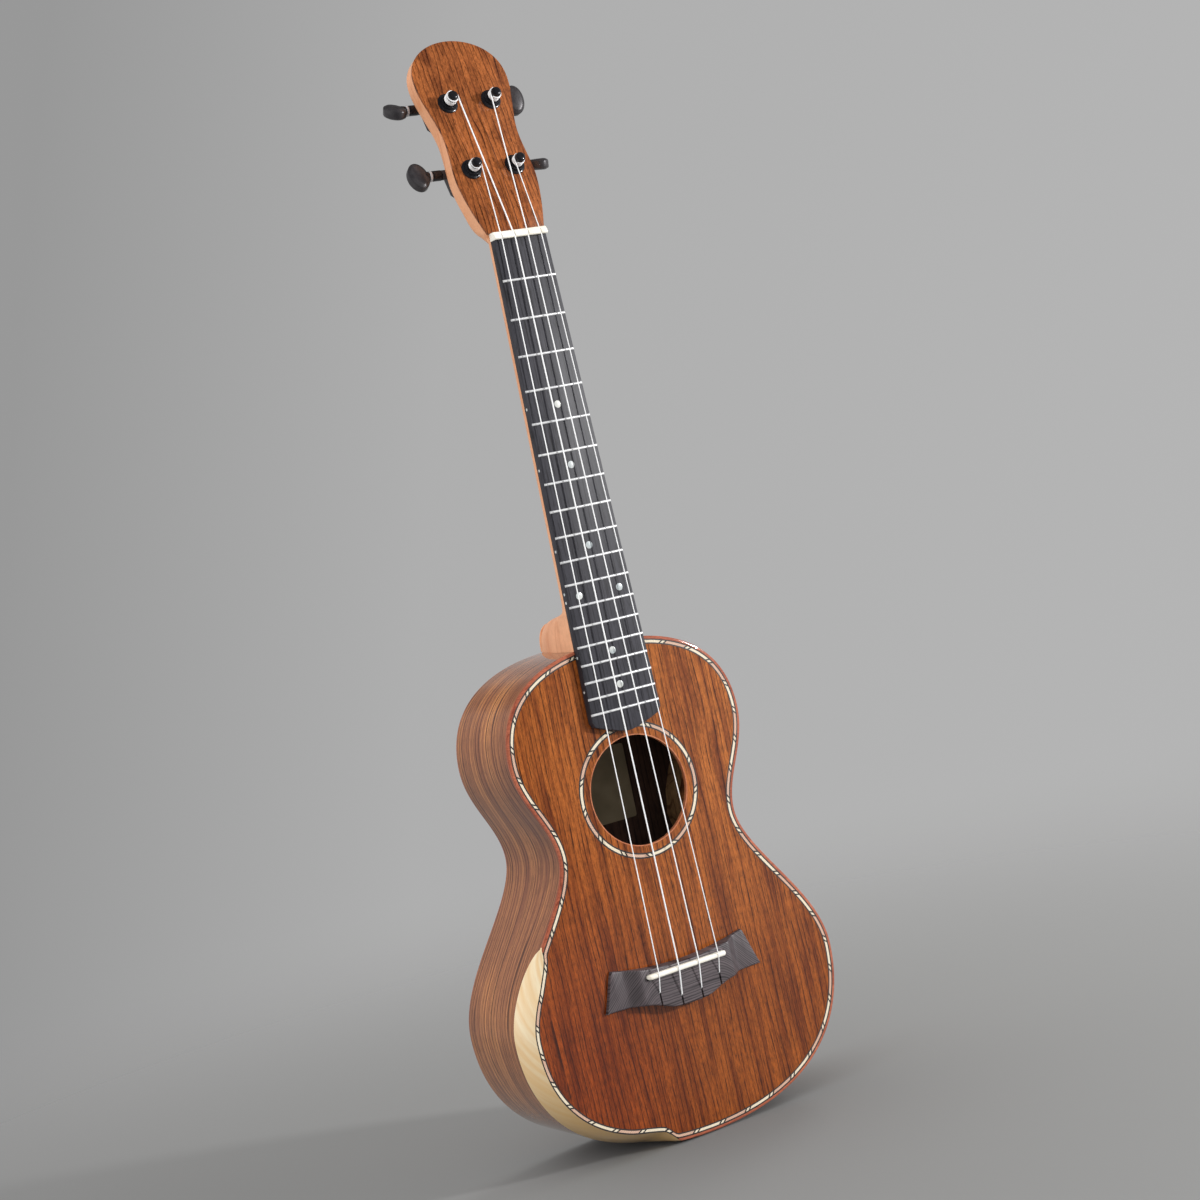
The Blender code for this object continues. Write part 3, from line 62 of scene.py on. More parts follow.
BINDING_FRONT = 1.6  # how deep it reaches
BINDING_BACK = 1.3
BOARD_TOP = -5.0
NUT_SPACING = 8.74
SADDLE_SPACING = 13.8
NUT_TOP = -6.8  # where the strings' middle lies
SADDLE_Z = -431.0
SADDLE_TOP = -12.05  # where the strings lie on it
BRIDGE_HEIGHT = 8.8
WING_HEIGHT = 2.7
SADDLE_HALF = 27.15
BRIDGE_HALF = 45.5  # half its front edge, without the slanted ends
HEAD_ANGLE = math.radians(14.5)
HEAD_LENGTH = 130.3
HEAD_BREAK = 4.9  # the head's back starts here
SHOULDER_AT, SHOULDER_HALF = 40.4, 26.3
HEAD_WAIST_AT, HEAD_WAIST_HALF = 65.8, 24.5
CROWN_AT, CROWN_HALF = 103.8, 30.8
CROWN_LENGTH = 26.5
VENEER = 1.5
HEEL_LENGTH = 43
HEEL_CUT = 64.4  # depth of the heel's foot
POST_OFFSET = 14.35
POST_ROWS = (46.1, 89.5)
POST_RADIUS = 2.9  # where the windings lie on it
WRAP_START = 3.8  # the lowest turn over the head's face
LAP_STEPS = 28
WORM_DEPTH = -17.05
WORM_ASIDE = 7.002
BUTTON_AT = 25.5
BUTTON_HALF = 6.25
BUTTON_TURNS = (10, 47, 10, 117)  # degrees, at rest
STRING_WIDTHS = (0.65, 0.90, 0.75, 0.62)
SLOT_STARTS = (10, 15, 15, 10)
SLOT_DEPTH = 4.4
CASE_FRONT = -12.3  # the housings' face at the head's back


def fret_z(number):
    return -SCALE_LENGTH * (1 - 2 ** (-number / 12))


JOIN_Z = fret_z(14)
TAIL_Z = JOIN_Z - BODY_LENGTH
HOLE_Z = JOIN_Z - HOLE_AT
LAST_FRET_Z = fret_z(18)
DOT_ASIDE = 13.6
DOT_PLACES = ((0, -98.6), (0, -134.3), (0, -181.8), (-DOT_ASIDE, -209.3), (DOT_ASIDE, -209.3), (0, -244.0),
              (0, -264.1))


# Camera, at the photograph's angle

def place_camera():
    lens = bpy.data.cameras.new("camera")
    lens.lens = 65.23
    lens.sensor_width = 36
    camera = bpy.data.objects.new("camera", lens)
    bpy.context.scene.collection.objects.link(camera)
    right = Vector((0.84778, -0.48366, -0.21759))
    down = Vector((-0.19788, 0.09218, -0.97588))
    forward = Vector((0.49205, 0.87039, -0.01756))
    turn = Matrix((right, -down, -forward)).transposed().to_4x4()
    camera.matrix_world = Matrix.Translation(Vector((-618.83, -1098.11, -192.21)) * MM) @ turn
    bpy.context.scene.camera = camera


place_camera()


# Materials

def tone(red, green, blue):
    """A colour from 0 to 255 a channel, as the renderer takes it."""
    linear = []
    for value in (red, green, blue):
        share = value / 255
        linear.append(share / 12.92 if share <= 0.04045 else ((share + 0.055) / 1.055) ** 2.4)
    return (*linear, 1.0)


class Value:
    """What a node gives: sums with it are written as usual and become nodes."""

    def __init__(self, nodes, socket):
        self.nodes = nodes
        self.socket = socket

    def __add__(self, other):
        return self.nodes.calc("ADD", self, other)

    def __sub__(self, other):
        return self.nodes.calc("SUBTRACT", self, other)

    def __rsub__(self, other):
        return self.nodes.calc("SUBTRACT", other, self)

    def __mul__(self, other):
        return self.nodes.calc("MULTIPLY", self, other)

    def __truediv__(self, other):
        return self.nodes.calc("DIVIDE", self, other)

    def __abs__(self):
        return self.nodes.calc("ABSOLUTE", self)


class Nodes:
    """Nodes laid down step by step in one tree."""

    def __init__(self, tree):
        self.tree = tree

    def add(self, kind, *values):
        """A node with its first inputs filled."""
        node = self.tree.nodes.new(f"ShaderNode{kind}")
        for socket, value in zip(node.inputs, values):
            self.put(socket, value)
        return node

    def put(self, socket, value):
        value = getattr(value, "socket", value)
        if isinstance(value, bpy.types.NodeSocket):
            self.tree.links.new(value, socket)
        else:
            socket.default_value = value

    def fill(self, node, values):
        """Fill a node's inputs by name."""
        for name, value in values.items():
            self.put(node.inputs[name], value)
        return node

    def value(self, node, number=0):
        return Value(self, node.outputs[number])

    def calc(self, operation, first, second=0.0):
        node = self.add("Math", first, second)
        node.operation = operation
        return self.value(node)

    def split(self, vector):
        node = self.add("SeparateXYZ", vector)
        return [self.value(node, axis) for axis in range(3)]

    def join(self, x, y, z):
        return self.value(self.add("CombineXYZ", x, y, z))

    def ramp(self, value, low, high, start=0.0, end=1.0):
        """Goes straight from start to end as the value goes from low to high."""
        return self.value(self.add("MapRange", value, low, high, start, end))

    def within(self, value, low, high, start=0.0, end=1.0):
        """Eases from start to end as the value goes from low to high."""
        node = self.add("MapRange", value, low, high, start, end)
        node.interpolation_type = "SMOOTHSTEP"
        return self.value(node)

    def mixed(self, way, share, first, second):
        """Two colours blended, by the inputs and the output that carry colours."""
        node = self.add("Mix", share)
        node.data_type = "RGBA"
        node.blend_type = way
        self.put(node.inputs[6], first)
        self.put(node.inputs[7], second)
        return self.value(node, 2)

    def mix(self, share, first, second):
        return self.mixed("MIX", share, first, second)

    def darken(self, colour, amount):
        """The colour times another colour or a grey value."""
        return self.mixed("MULTIPLY", 1.0, colour, amount)

    def noise(self, vector, detail=2.0, roughness=0.5):
        node = self.add("TexNoise", vector)
        return self.value(self.fill(node, {"Scale": 1.0, "Detail": detail, "Roughness": roughness}))

    def streaked(self, first, first_scale, second, second_scale, shift=0.0, detail=2.0, roughness=0.5):
        """Noise over two measures in millimetres, each with its own scale."""
        place = self.join(first * first_scale, second * second_scale, shift)
        return self.noise(place, detail, roughness)


class Finish(Nodes):
    """A material, with its places on the object and on the piece's UV map."""

    def __init__(self, name, roughness, coat=0.0, coat_roughness=0.05, metallic=0.0):
        self.made = bpy.data.materials.new(name)
        self.made.use_nodes = True
        super().__init__(self.made.node_tree)
        self.shader = self.tree.nodes["Principled BSDF"]
        self.fill(self.shader, {"Roughness": roughness, "Coat Weight": coat, "Coat Roughness": coat_roughness,
                                "Metallic": metallic})
        source = self.add("TexCoord")
        self.place = source.outputs["Object"]
        self.flat = source.outputs["UV"]

    def stretch(self, vector, scale, shift=0.0):
        """The place made larger by a scale and moved across by a shift."""
        node = self.add("Mapping", vector)
        return self.value(self.fill(node, {"Scale": (scale, scale, scale), "Location": (shift, 0, 0)}))

    def bump(self, height, distance, strength):
        node = self.fill(self.add("Bump"), {"Strength": strength, "Distance": distance, "Height": height})
        self.fill(self.shader, {"Normal": self.value(node)})

    def colour(self, value):
        self.fill(self.shader, {"Base Color": value})
        return self.made


WHITE = (1, 1, 1, 1)


def grained(name, light, dark, streak, grain="XYZ", every=5.0, wave=1.0, streak_share=0.8, fibre=0.25,
            pores=0.5, figure=0.05, roughness=0.45, coat=1.0, coat_roughness=0.06, shift=0.0, painted_low_shade=None,
            broken=0.8, bands=0.0):
    """Wood: growth lines, soft on one side and sharp on the other, broken dark streaks, fibres and pores.

    grain gives the axes in the order across, through and along. every is the growth lines' spacing, and
    bands the strength of narrow dark bands. The low tint is painted shade: the wood darkens and warms from
    z -300 down to -480, and, when it is given, the left side is painted darker too.
    """
    made = Finish(name, roughness, coat, coat_roughness)
    made.fill(made.shader, {"Specular IOR Level": 0.05 if coat else 0.4})
    axes = made.split(made.stretch(made.place, 1000, shift))
    across, through, along = [axes["XYZ".index(letter)] for letter in grain]

    def cloud(place, scales, start, detail=2.0, roughness=0.5):
        """Noise over a place across the wood, and through and along it, with a scale for each."""
        return made.noise(made.join(place * scales[0], through * scales[1], along * scales[2] + start),
                          detail, roughness)

    warp = cloud(across, (1 / 30, 1 / 30, 1 / 110), 0.0)
    ripple = cloud(across, (1 / 4, 1 / 4, 1 / 14), 5.0, 1)
    bent = across + (warp - 0.5) * (wave * 7) + (ripple - 0.5) * (wave * 0.5)
    gaps = cloud(across, (1 / 14, 1 / 20, 1 / 500), 9.0)
    lap = bent / every + gaps * 3.0
    place = made.calc("FRACT", lap)
    number = made.calc("FLOOR", lap)
    strong = made.noise(made.join(number * 7.3, 0.5, along * (1 / 16)), 3, 0.7)
    late = made.within(place, 0.35, 0.95, 0.0, 0.2) + made.within(place, 0.76, 0.9, 0.0, 0.8)
    late = late * made.within(place, 0.955, 1.0, 1.0, 0.0)
    line = late * made.within(strong, 0.36, 0.6)
    streaks = made.within(cloud(bent, (0.95, 0.95, 1 / 22), 11.0, 4, 0.66), 0.55, 0.66)
    fine = cloud(bent, (1.15, 1.15, 1 / 5), 2.0, 5, 0.85)
    dash = cloud(bent, (1.5, 1.5, 1 / 4), 7.0, 3, 0.6)
    pore = made.within(dash, 0.56, 0.66) * made.within(fine, 0.34, 0.58, 1.0, 0.3)
    flame = cloud(across, (1 / 18, 1 / 18, 1 / 6), 3.0)
    slow = cloud(across, (1 / 11, 1 / 24, 1 / 120), 1.0, 3)
    share = made.within(slow, 0.34, 0.66, 0.0, 0.6) + late * 0.4
    if bands:
        narrow = cloud(bent, (1 / 4, 1 / 4, 1 / 75), 13.0, 3, 0.6)
        share = share + made.within(narrow, 0.4, 0.62, -0.4 * bands, 0.6 * bands)
    base = made.mix(share, light, dark)
    # Painted shade: darker and warmer towards the tail, and darker on the left, where the light falls off.
    if painted_low_shade:
        x, _, z = made.split(made.place)
        low = made.within(z, -0.300, -0.480)
        left = made.within(x, 0.020, -0.070)
        base = made.darken(base, made.mix(low, WHITE, made.mix(left, (0.70, 0.58, 0.38, 1), painted_low_shade)))
        base = made.darken(base, made.mix(left, WHITE, (0.86, 0.80, 0.72, 1)))
    lift = (made.within(fine, 0.34, 0.66, 1 - fibre, 1 + fibre)
            + made.within(flame, 0.25, 0.75, -figure, figure))
    base = made.darken(base, made.join(lift, lift, lift))
    marked = made.mix(line * streak_share, base, streak)
    marked = made.mix(streaks * (broken * streak_share), marked, streak)
    marked = made.mix(pore * pores, marked, streak)
    made.bump(fine - pore, 0.00004, 0.35)
    return made.colour(marked)


def marquetry(name, period, phase):
    """Cream and tan lengths by turns, parted by pairs of slanted black dashes and edged by black lines."""
    made = Finish(name, 0.4, 1.0, 0.06)
    run, across, _ = made.split(made.stretch(made.flat, 1000))
    middle = across - PURFLING / 2
    slanted = run - phase - middle * 1.15
    lap = slanted / period
    place = made.calc("FRACT", lap) * period
    nearest = made.calc("MINIMUM", place, period - place)
    dash_at, dash_half, edge_width = 1.6, 0.64, 0.78
    dash = made.calc("LESS_THAN", abs(nearest - dash_at), dash_half)
    between = made.calc("LESS_THAN", nearest, dash_at)
    odd = made.calc("GREATER_THAN", made.calc("FRACT", made.calc("FLOOR", lap) * 0.5), 0.25)
    grain = made.streaked(run, 0.9, across, 3, 0.0, 3)
    hatch = made.calc("SINE", (run + across) * 5.0)
    cream = made.mix(made.within(grain, 0.3, 0.7), tone(234, 223, 200), tone(214, 197, 168))
    tan = made.mix(made.within(hatch, -0.7, 0.7), tone(208, 172, 150), tone(182, 140, 116))
    tan = made.mix(made.within(grain, 0.35, 0.75, 0.0, 0.5), tan, tone(224, 192, 166))
    band = made.mix(odd * (1.0 - between), cream, tan)
    black = tone(24, 15, 14)
    edge = made.calc("GREATER_THAN", abs(middle), PURFLING / 2 - edge_width)
    return made.colour(made.mix(edge, made.mix(dash, band, black), black))


def flamed_maple(name):
    """Pale maple with soft leaning stripes across the strip, browner towards the tail."""
    made = Finish(name, 0.3, 1.0, 0.05)
    run, across, _ = made.split(made.stretch(made.flat, 1000))
    lean = run + across * 1.3
    flame = made.streaked(lean, 0.12, across, 0.02, 0.0, 1)
    fine = made.streaked(lean, 0.7, across, 0.16, 0.0, 3, 0.6)
    base = made.mix(made.within(flame, 0.34, 0.66), tone(248, 228, 190), tone(240, 206, 156))
    base = made.mix(made.within(fine, 0.44, 0.76, 0.0, 0.4), base, tone(230, 188, 138))
    base = made.mix(made.within(run, 262, 350, 0.0, 0.9), base, tone(212, 170, 104))
    made.bump(fine, 0.00003, 0.25)
    return made.colour(base)


def striped_side(name):
    """The bent sides: golden and brown stripes along the run, thin dark lines and fine pores; the waist and
    the lower bout on the left are painted darker and more violet as shade.
    """
    made = Finish(name, 0.4, 1.0, 0.06)
    made.fill(made.shader, {"Specular IOR Level": 0.05})
    run, depth, _ = made.split(made.stretch(made.flat, 1000))
    swing = made.streaked(run, 1 / 100, depth, 1 / 60, 0.0, 0)
    bent = depth + (swing - 0.5) * 13
    gaps = made.streaked(run, 1 / 500, depth, 1 / 8, 2.0)
    lap = bent / 2.9 + gaps * 3.0
    place = made.calc("FRACT", lap)
    number = made.calc("FLOOR", lap)
    strong = made.noise(made.join(number * 5.7, 0.5, run * (1 / 80)))
    strong = made.within(strong, 0.38, 0.58, 0.2, 0.85)
    line = made.within(place, 0.6, 0.74) * made.within(place, 0.84, 0.98, 1.0, 0.0)
    stripe = made.within(made.streaked(run, 1 / 240, bent, 0.6, 4.0, 3, 0.7), 0.38, 0.62)
    fine = made.streaked(run, 1 / 9, bent, 1.5, 0.0, 4, 0.85)
    dash = made.streaked(run, 1 / 6, bent, 1.9, 6.0, 3, 0.6)
    tint = made.within(made.streaked(run, 1 / 85, depth, 1 / 40, 8.0), 0.42, 0.60)
    base = made.mix(stripe, tone(206, 138, 82), tone(142, 84, 54))
    # Random darker brown patches, plus a band darkened towards the front edge: painted shade for the dark
    # room mirrored up there.
    near = made.calc("MAXIMUM", tint * 0.5, made.within(depth, 6, 24, 0.55, 0.0))
    base = made.mix(near, base, tone(118, 70, 54))
    # Painted shade: the left side's waist and lower bout, which face away from the light, darkened towards
    # violet brown.
    waist = made.within(run, 90, 130) * made.within(run, 150, 195, 1.0, 0.0)
    tail = made.within(run, 240, 300) * made.within(run, 400, 500, 1.0, 0.0)
    base = made.darken(base, made.mix(made.calc("MAXIMUM", waist, tail), WHITE, (0.68, 0.70, 0.82, 1)))
    lift = made.within(fine, 0.34, 0.66, 0.72, 1.24)
    base = made.darken(base, made.join(lift, lift, lift))
    base = made.mix(line * strong, base, tone(58, 27, 17))
    base = made.mix(made.within(dash, 0.57, 0.67, 0.0, 0.55), base, tone(66, 32, 20))
    made.bump(fine, 0.00003, 0.3)
    return made.colour(base)


def swirled(name):
    """The bridge: grey brown, its fine lines lengthwise in the middle and sweeping down on both wings."""
    made = Finish(name, 0.42)
    x, _, z = made.split(made.stretch(made.place, 1000))
    wing = made.within(abs(x), 20, 58, 0.0, 31.0)
    warp = made.streaked(x, 1 / 28, z, 1 / 22, 4.0)
    bent = z + wing + (warp - 0.5) * 3
    coarse = made.streaked(x, 1 / 70, bent, 0.3)
    lines = made.streaked(x, 1 / 60, bent, 1.3, 3.0, 2, 0.6)
    fine = made.streaked(x, 1 / 7, bent, 5.0, 2.0, 2, 0.6)
    base = made.mix(made.within(coarse, 0.34, 0.66), tone(102, 92, 95), tone(84, 76, 79))
    ring = made.calc("FRACT", bent * 0.62 + coarse * 2.0)
    ring = made.within(ring, 0.45, 0.7) * made.within(ring, 0.8, 1.0, 1.0, 0.0)
    base = made.mix(ring * made.within(lines, 0.35, 0.6, 0.5, 0.95), base, tone(28, 23, 25))
    base = made.mix(made.within(fine, 0.48, 0.70, 0.0, 0.5), base, tone(38, 32, 34))
    made.bump(lines + fine, 0.00005, 0.4)
    made.fill(made.shader, {"Roughness": made.within(fine, 0.3, 0.7, 0.36, 0.5)})
    return made.colour(base)


def mottled(name, first, second, scale, roughness, metallic=0.0, coat=0.0, spread=0.08):
    """A plain finish with fine mottling in colour, gloss and surface."""
    made = Finish(name, roughness, coat, 0.08, metallic)
    spots = made.noise(made.stretch(made.place, scale), 4, 0.6)
    cloud = made.noise(made.stretch(made.place, scale / 9))
    gloss = made.within(spots, 0.3, 0.7, roughness - spread, roughness + spread)
    made.fill(made.shader, {"Roughness": gloss})
    made.bump(spots, 0.00002, 0.3)
    return made.colour(made.mix(made.within(cloud, 0.3, 0.7), first, second))


# The top's low tint is painted shade towards the tail and on the left.
TOP_WOOD = grained("top_wood", tone(170, 97, 43), tone(112, 54, 24), tone(48, 19, 10), every=3.3, bands=0.62,
                   streak_share=0.9, fibre=0.4, pores=0.65, painted_low_shade=(0.68, 0.44, 0.26, 1), broken=0.7)
SIDE_WOOD = striped_side("side_wood")
BACK_WOOD = grained("back_wood", tone(164, 102, 54), tone(126, 72, 38), tone(54, 25, 14), every=4.4, shift=40)
# Painted shade: dark wood for the dim inside of the body.
INSIDE_SHADE_WOOD = grained("inside_shade_wood", tone(80, 56, 45), tone(58, 40, 32), tone(32, 20, 15), coat=0.0,
                      roughness=0.8)
FACE_WOOD = grained("face_wood", tone(162, 93, 49), tone(92, 46, 25), tone(42, 18, 11), every=3.1, bands=0.4,
                    fibre=0.34, pores=0.4, shift=11, broken=0.6)
NECK_WOOD = grained("neck_wood", tone(232, 172, 132), tone(218, 150, 108), tone(166, 96, 66), every=7,
                    streak_share=0.12, fibre=0.05, pores=0.4, roughness=0.42, coat=0.3, coat_roughness=0.25)
BOARD_WOOD = grained("board_wood", tone(60, 59, 66), tone(44, 43, 49), tone(15, 13, 16), every=2.6,
                     fibre=0.12, pores=0.7, wave=0.3, figure=0.02, roughness=0.5, coat=0.0)
INNER_WOOD = grained("inner_wood", tone(176, 142, 100), tone(150, 112, 75), tone(108, 75, 46), every=3,
                     roughness=0.75, coat=0.0)
BINDING_WOOD = grained("binding_wood", tone(176, 102, 76), tone(146, 74, 54), tone(84, 36, 26), "YZX",
                       every=1.6, streak_share=0.3, pores=0.4, wave=0.4)
# Paler wood for the soundhole's edge: a painted highlight on the rim.
HOLE_WOOD_HIGHLIGHT = grained("hole_wood_highlight", tone(192, 122, 86), tone(170, 98, 65), tone(112, 56, 32), "YZX",
                    every=1.2, streak_share=0.3, pores=0.3, wave=0.4)
MARQUETRY = marquetry("marquetry", STRIP_LENGTH / 46, 6.3)
ROSETTE_MARQUETRY = marquetry("rosette_marquetry", 17.8, 11.0)
MAPLE = flamed_maple("flamed_maple")
BRIDGE_WOOD = swirled("bridge_wood")
BONE = mottled("bone", tone(250, 246, 236), tone(242, 235, 218), 900, 0.32, coat=0.3)
NYLON = mottled("nylon", tone(254, 254, 254), tone(247, 247, 247), 1500, 0.3, coat=0.4)
BLACK_METAL = mottled("black_metal", tone(46, 45, 49), tone(34, 34, 38), 1400, 0.2, metallic=0.4)
BLACK_SATIN = mottled("black_satin", tone(72, 69, 71), tone(56, 53, 56), 1800, 0.34, metallic=0.3)
FRET_METAL = mottled("fret_metal", tone(240, 240, 240), tone(226, 226, 228), 700, 0.36, metallic=0.35)
SILVER = mottled("silver", tone(214, 214, 216), tone(190, 190, 194), 1500, 0.34, metallic=0.25)
BRASS = mottled("brass", tone(206, 172, 102), tone(180, 142, 80), 1500, 0.32, metallic=1.0)
PEARL = mottled("pearl", tone(216, 216, 210), tone(180, 188, 190), 900, 0.3, coat=0.5, spread=0.05)
PAPER = mottled("paper", tone(146, 132, 106), tone(130, 117, 92), 700, 0.85, spread=0.05)


# Tools of the bench

def start_clear():
    """Object mode with nothing selected."""
    if bpy.context.mode != "OBJECT":
        bpy.ops.object.mode_set(mode="OBJECT")
    bpy.ops.object.select_all(action="DESELECT")


def take(piece):
    """Select one piece alone and make it the active one."""
    start_clear()
    piece.select_set(True)
    bpy.context.view_layer.objects.active = piece


def start_edit():
    """Edit mode with the whole piece selected."""
    bpy.ops.object.mode_set(mode="EDIT")
    bpy.ops.mesh.select_all(action="SELECT")


def end_edit():
    """Turn the faces outwards and go back to object mode."""
    bpy.ops.mesh.select_all(action="SELECT")
    bpy.ops.mesh.normals_make_consistent(inside=False)
    bpy.ops.object.mode_set(mode="OBJECT")


def named(piece, name):
    piece.name = name
    piece.data.name = name
    return piece


def wrap(name, columns, rows, form, pattern=None):
    """A grid laid on a form, its seam merged and its open ends filled.

    form(u, v) puts each corner, and pattern(u, v) gives its place on the UV map, both in millimetres.
    """
    start_clear()
    bpy.ops.mesh.primitive_grid_add(x_subdivisions=columns, y_subdivisions=rows, size=1, calc_uvs=True)
    piece = named(bpy.context.object, name)
    mesh = piece.data
    shares = [(corner.co.x + 0.5, corner.co.y + 0.5) for corner in mesh.vertices]
    if pattern:
        layer = mesh.uv_layers.active.data
        for loop in mesh.loops:
            u, v = pattern(*shares[loop.vertex_index])
            layer[loop.index].uv = (u * MM, v * MM)
    for corner, (u, v) in zip(mesh.vertices, shares):
        corner.co = form(u, v) * MM
    start_edit()
    bpy.ops.mesh.remove_doubles(threshold=MERGE)
    bpy.ops.mesh.select_all(action="SELECT")
    bpy.ops.mesh.fill_holes(sides=0)
    end_edit()
    return piece


def modified(piece, kind, **settings):
    """Apply a modifier with its settings."""
    take(piece)
    bpy.ops.object.modifier_add(type=kind)
    step = piece.modifiers[-1]
    for key, value in settings.items():
        setattr(step, key, value)
    bpy.ops.object.modifier_apply(modifier=step.name)
    return piece


def rounded(piece, width, segments=2, angle=40):
    """Round the edges that are sharper than an angle."""
    return modified(piece, "BEVEL", width=width * MM, segments=segments, limit_method="ANGLE",
                    angle_limit=math.radians(angle))


def cut(piece, tools):
    """Cut shapes out of a piece."""
    for tool in tools:
        modified(piece, "BOOLEAN", operation="DIFFERENCE", solver="EXACT", object=tool)
        bpy.data.objects.remove(tool, do_unlink=True)


def plate(name, loops, thickness, place, edge=0.0):
    """An outline with holes, filled and extruded: place(u, v, depth) puts each corner."""
    start_clear()
    rings = []
    for loop in loops:
        bpy.ops.mesh.primitive_circle_add(vertices=len(loop), radius=0.01, fill_type="NOTHING")
        rings.append(bpy.context.object)
        for corner, (u, v) in zip(rings[-1].data.vertices, loop):
            corner.co = (u * MM, v * MM, 0)
    for ring in rings:
        ring.select_set(True)
    if len(rings) > 1:
        bpy.ops.object.join()
    piece = named(bpy.context.object, name)
    start_edit()
    if len(rings) > 1:
        bpy.ops.mesh.fill(use_beauty=True)
    else:
        bpy.ops.mesh.edge_face_add()
    bpy.ops.mesh.extrude_region_move(TRANSFORM_OT_translate={"value": (0, 0, thickness * MM)})
    end_edit()
    if edge:
        rounded(piece, edge, 2, 50)
    for corner in piece.data.vertices:
        corner.co = place(*(corner.co / MM)) * MM
    start_edit()
    end_edit()
    return piece


def stacked(name, sides, profile):
    """A turned piece round Z: a disc extruded from one (radius, height) of its profile to the next."""
    start_clear()
    radius, height = profile[0]
    bpy.ops.mesh.primitive_circle_add(vertices=sides, radius=radius * MM, fill_type="NGON",
                                      location=(0, 0, height * MM))
    piece = named(bpy.context.object, name)
    bpy.ops.object.transform_apply(location=True, rotation=False, scale=False)
    start_edit()
    for (before, low), (after, high) in zip(profile, profile[1:]):
        bpy.ops.mesh.extrude_region_move(TRANSFORM_OT_translate={"value": (0, 0, (high - low) * MM)})
        bpy.ops.transform.resize(value=(after / before, after / before, 1), center_override=(0, 0, high * MM))
    end_edit()
    return piece


def spun(name, profile, steps=40):
    """A closed profile of (radius, height), spun round Z into a ring."""
    start_clear()
    bpy.ops.mesh.primitive_circle_add(vertices=len(profile), radius=0.01, fill_type="NOTHING")
    piece = named(bpy.context.object, name)
    for corner, (radius, height) in zip(piece.data.vertices, profile):
        corner.co = (radius * MM, 0, height * MM)
    start_edit()
    bpy.ops.mesh.spin(steps=steps, angle=2 * math.pi, center=(0, 0, 0), axis=(0, 0, 1))
    bpy.ops.mesh.select_all(action="SELECT")
    bpy.ops.mesh.remove_doubles(threshold=MERGE)
    end_edit()
    return piece


def strand(name, points, width, around=10):
    """A round string through points."""
    count = len(points)
    tangents = []
    for i in range(count):
        tangents.append((points[min(i + 1, count - 1)] - points[max(i - 1, 0)]).normalized())
    aside = [tangents[0].orthogonal().normalized()]
    for before, after in zip(tangents, tangents[1:]):
        turned = before.rotation_difference(after) @ aside[-1]
        aside.append((turned - after * turned.dot(after)).normalized())

    def form(u, v):
        i = round(u * (count - 1))
        turn = 2 * math.pi * v
        outwards = aside[i] * math.cos(turn) + tangents[i].cross(aside[i]) * math.sin(turn)
        return points[i] + outwards * width / 2
    return wrap(name, count - 1, around, form, lambda u, v: (u * 300, v * width * 3))


def polished(node, width):
    """A copy of a node, its flat faces joined again and its edges rounded."""
    start_clear()
    piece = copied(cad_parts[node], node)
    piece.parent = None
    for key in list(piece.keys()):
        del piece[key]
    take(piece)
    start_edit()
    bpy.ops.mesh.remove_doubles(threshold=0.000005)
    bpy.ops.mesh.dissolve_limited(angle_limit=math.radians(2))
    end_edit()
    return rounded(piece, width, 2, 30)


def copied(piece, name):
    """The same piece once more, with its own mesh."""
    made = piece.copy()
    made.data = piece.data.copy()
    bpy.context.scene.collection.objects.link(made)
    return named(made, name)


def settle(piece, matrix):
    """Put a finished mesh in its place and turn its faces outwards."""
    take(piece)
    piece.data.transform(matrix)
    start_edit()
    end_edit()
    return piece


def finish(piece, material, nodes=(), body="root", angle=35):
    """Shade a piece, give it its material, and let it ride on its body."""
    take(piece)
    bpy.ops.object.shade_smooth_by_angle(angle=math.radians(angle))
    piece.data.materials.clear()
    piece.data.materials.append(material)
    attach(piece, body)
    if nodes:
        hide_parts(*nodes)
    return piece


def block(name, low, high):
    """A cutting block between two corners."""
    start_clear()
    low = Vector(low) * MM
    high = Vector(high) * MM
    bpy.ops.mesh.primitive_cube_add(size=1, location=(low + high) / 2, scale=high - low)
    return named(bpy.context.object, name)


def eased(low, high, share):
    """From low to high, slow at both ends."""
    share = min(max(share, 0.0), 1.0)
    return low + (high - low) * (3 - 2 * share) * share * share


def traced(table, at):
    """A smooth curve through a table of (place, value), flat beyond its ends."""
    if at <= table[0][0]:
        return table[0][1]
    if at >= table[-1][0]:
        return table[-1][1]
    i = bisect.bisect_right([place for place, _ in table], at) - 1

    def slope(k):
        if k <= 0 or k >= len(table) - 1:
            return 0.0
        before = (table[k][1] - table[k - 1][1]) / (table[k][0] - table[k - 1][0])
        after = (table[k + 1][1] - table[k][1]) / (table[k + 1][0] - table[k][0])
        return 0.0 if before * after <= 0 else 2 * before * after / (before + after)
    (x0, y0), (x1, y1) = table[i], table[i + 1]
    span = x1 - x0
    t = (at - x0) / span
    return ((1 + 2 * t) * (1 - t) ** 2 * y0 + t * (1 - t) ** 2 * span * slope(i)
            + t * t * (3 - 2 * t) * y1 + t * t * (t - 1) * span * slope(i + 1))


# The body's outline

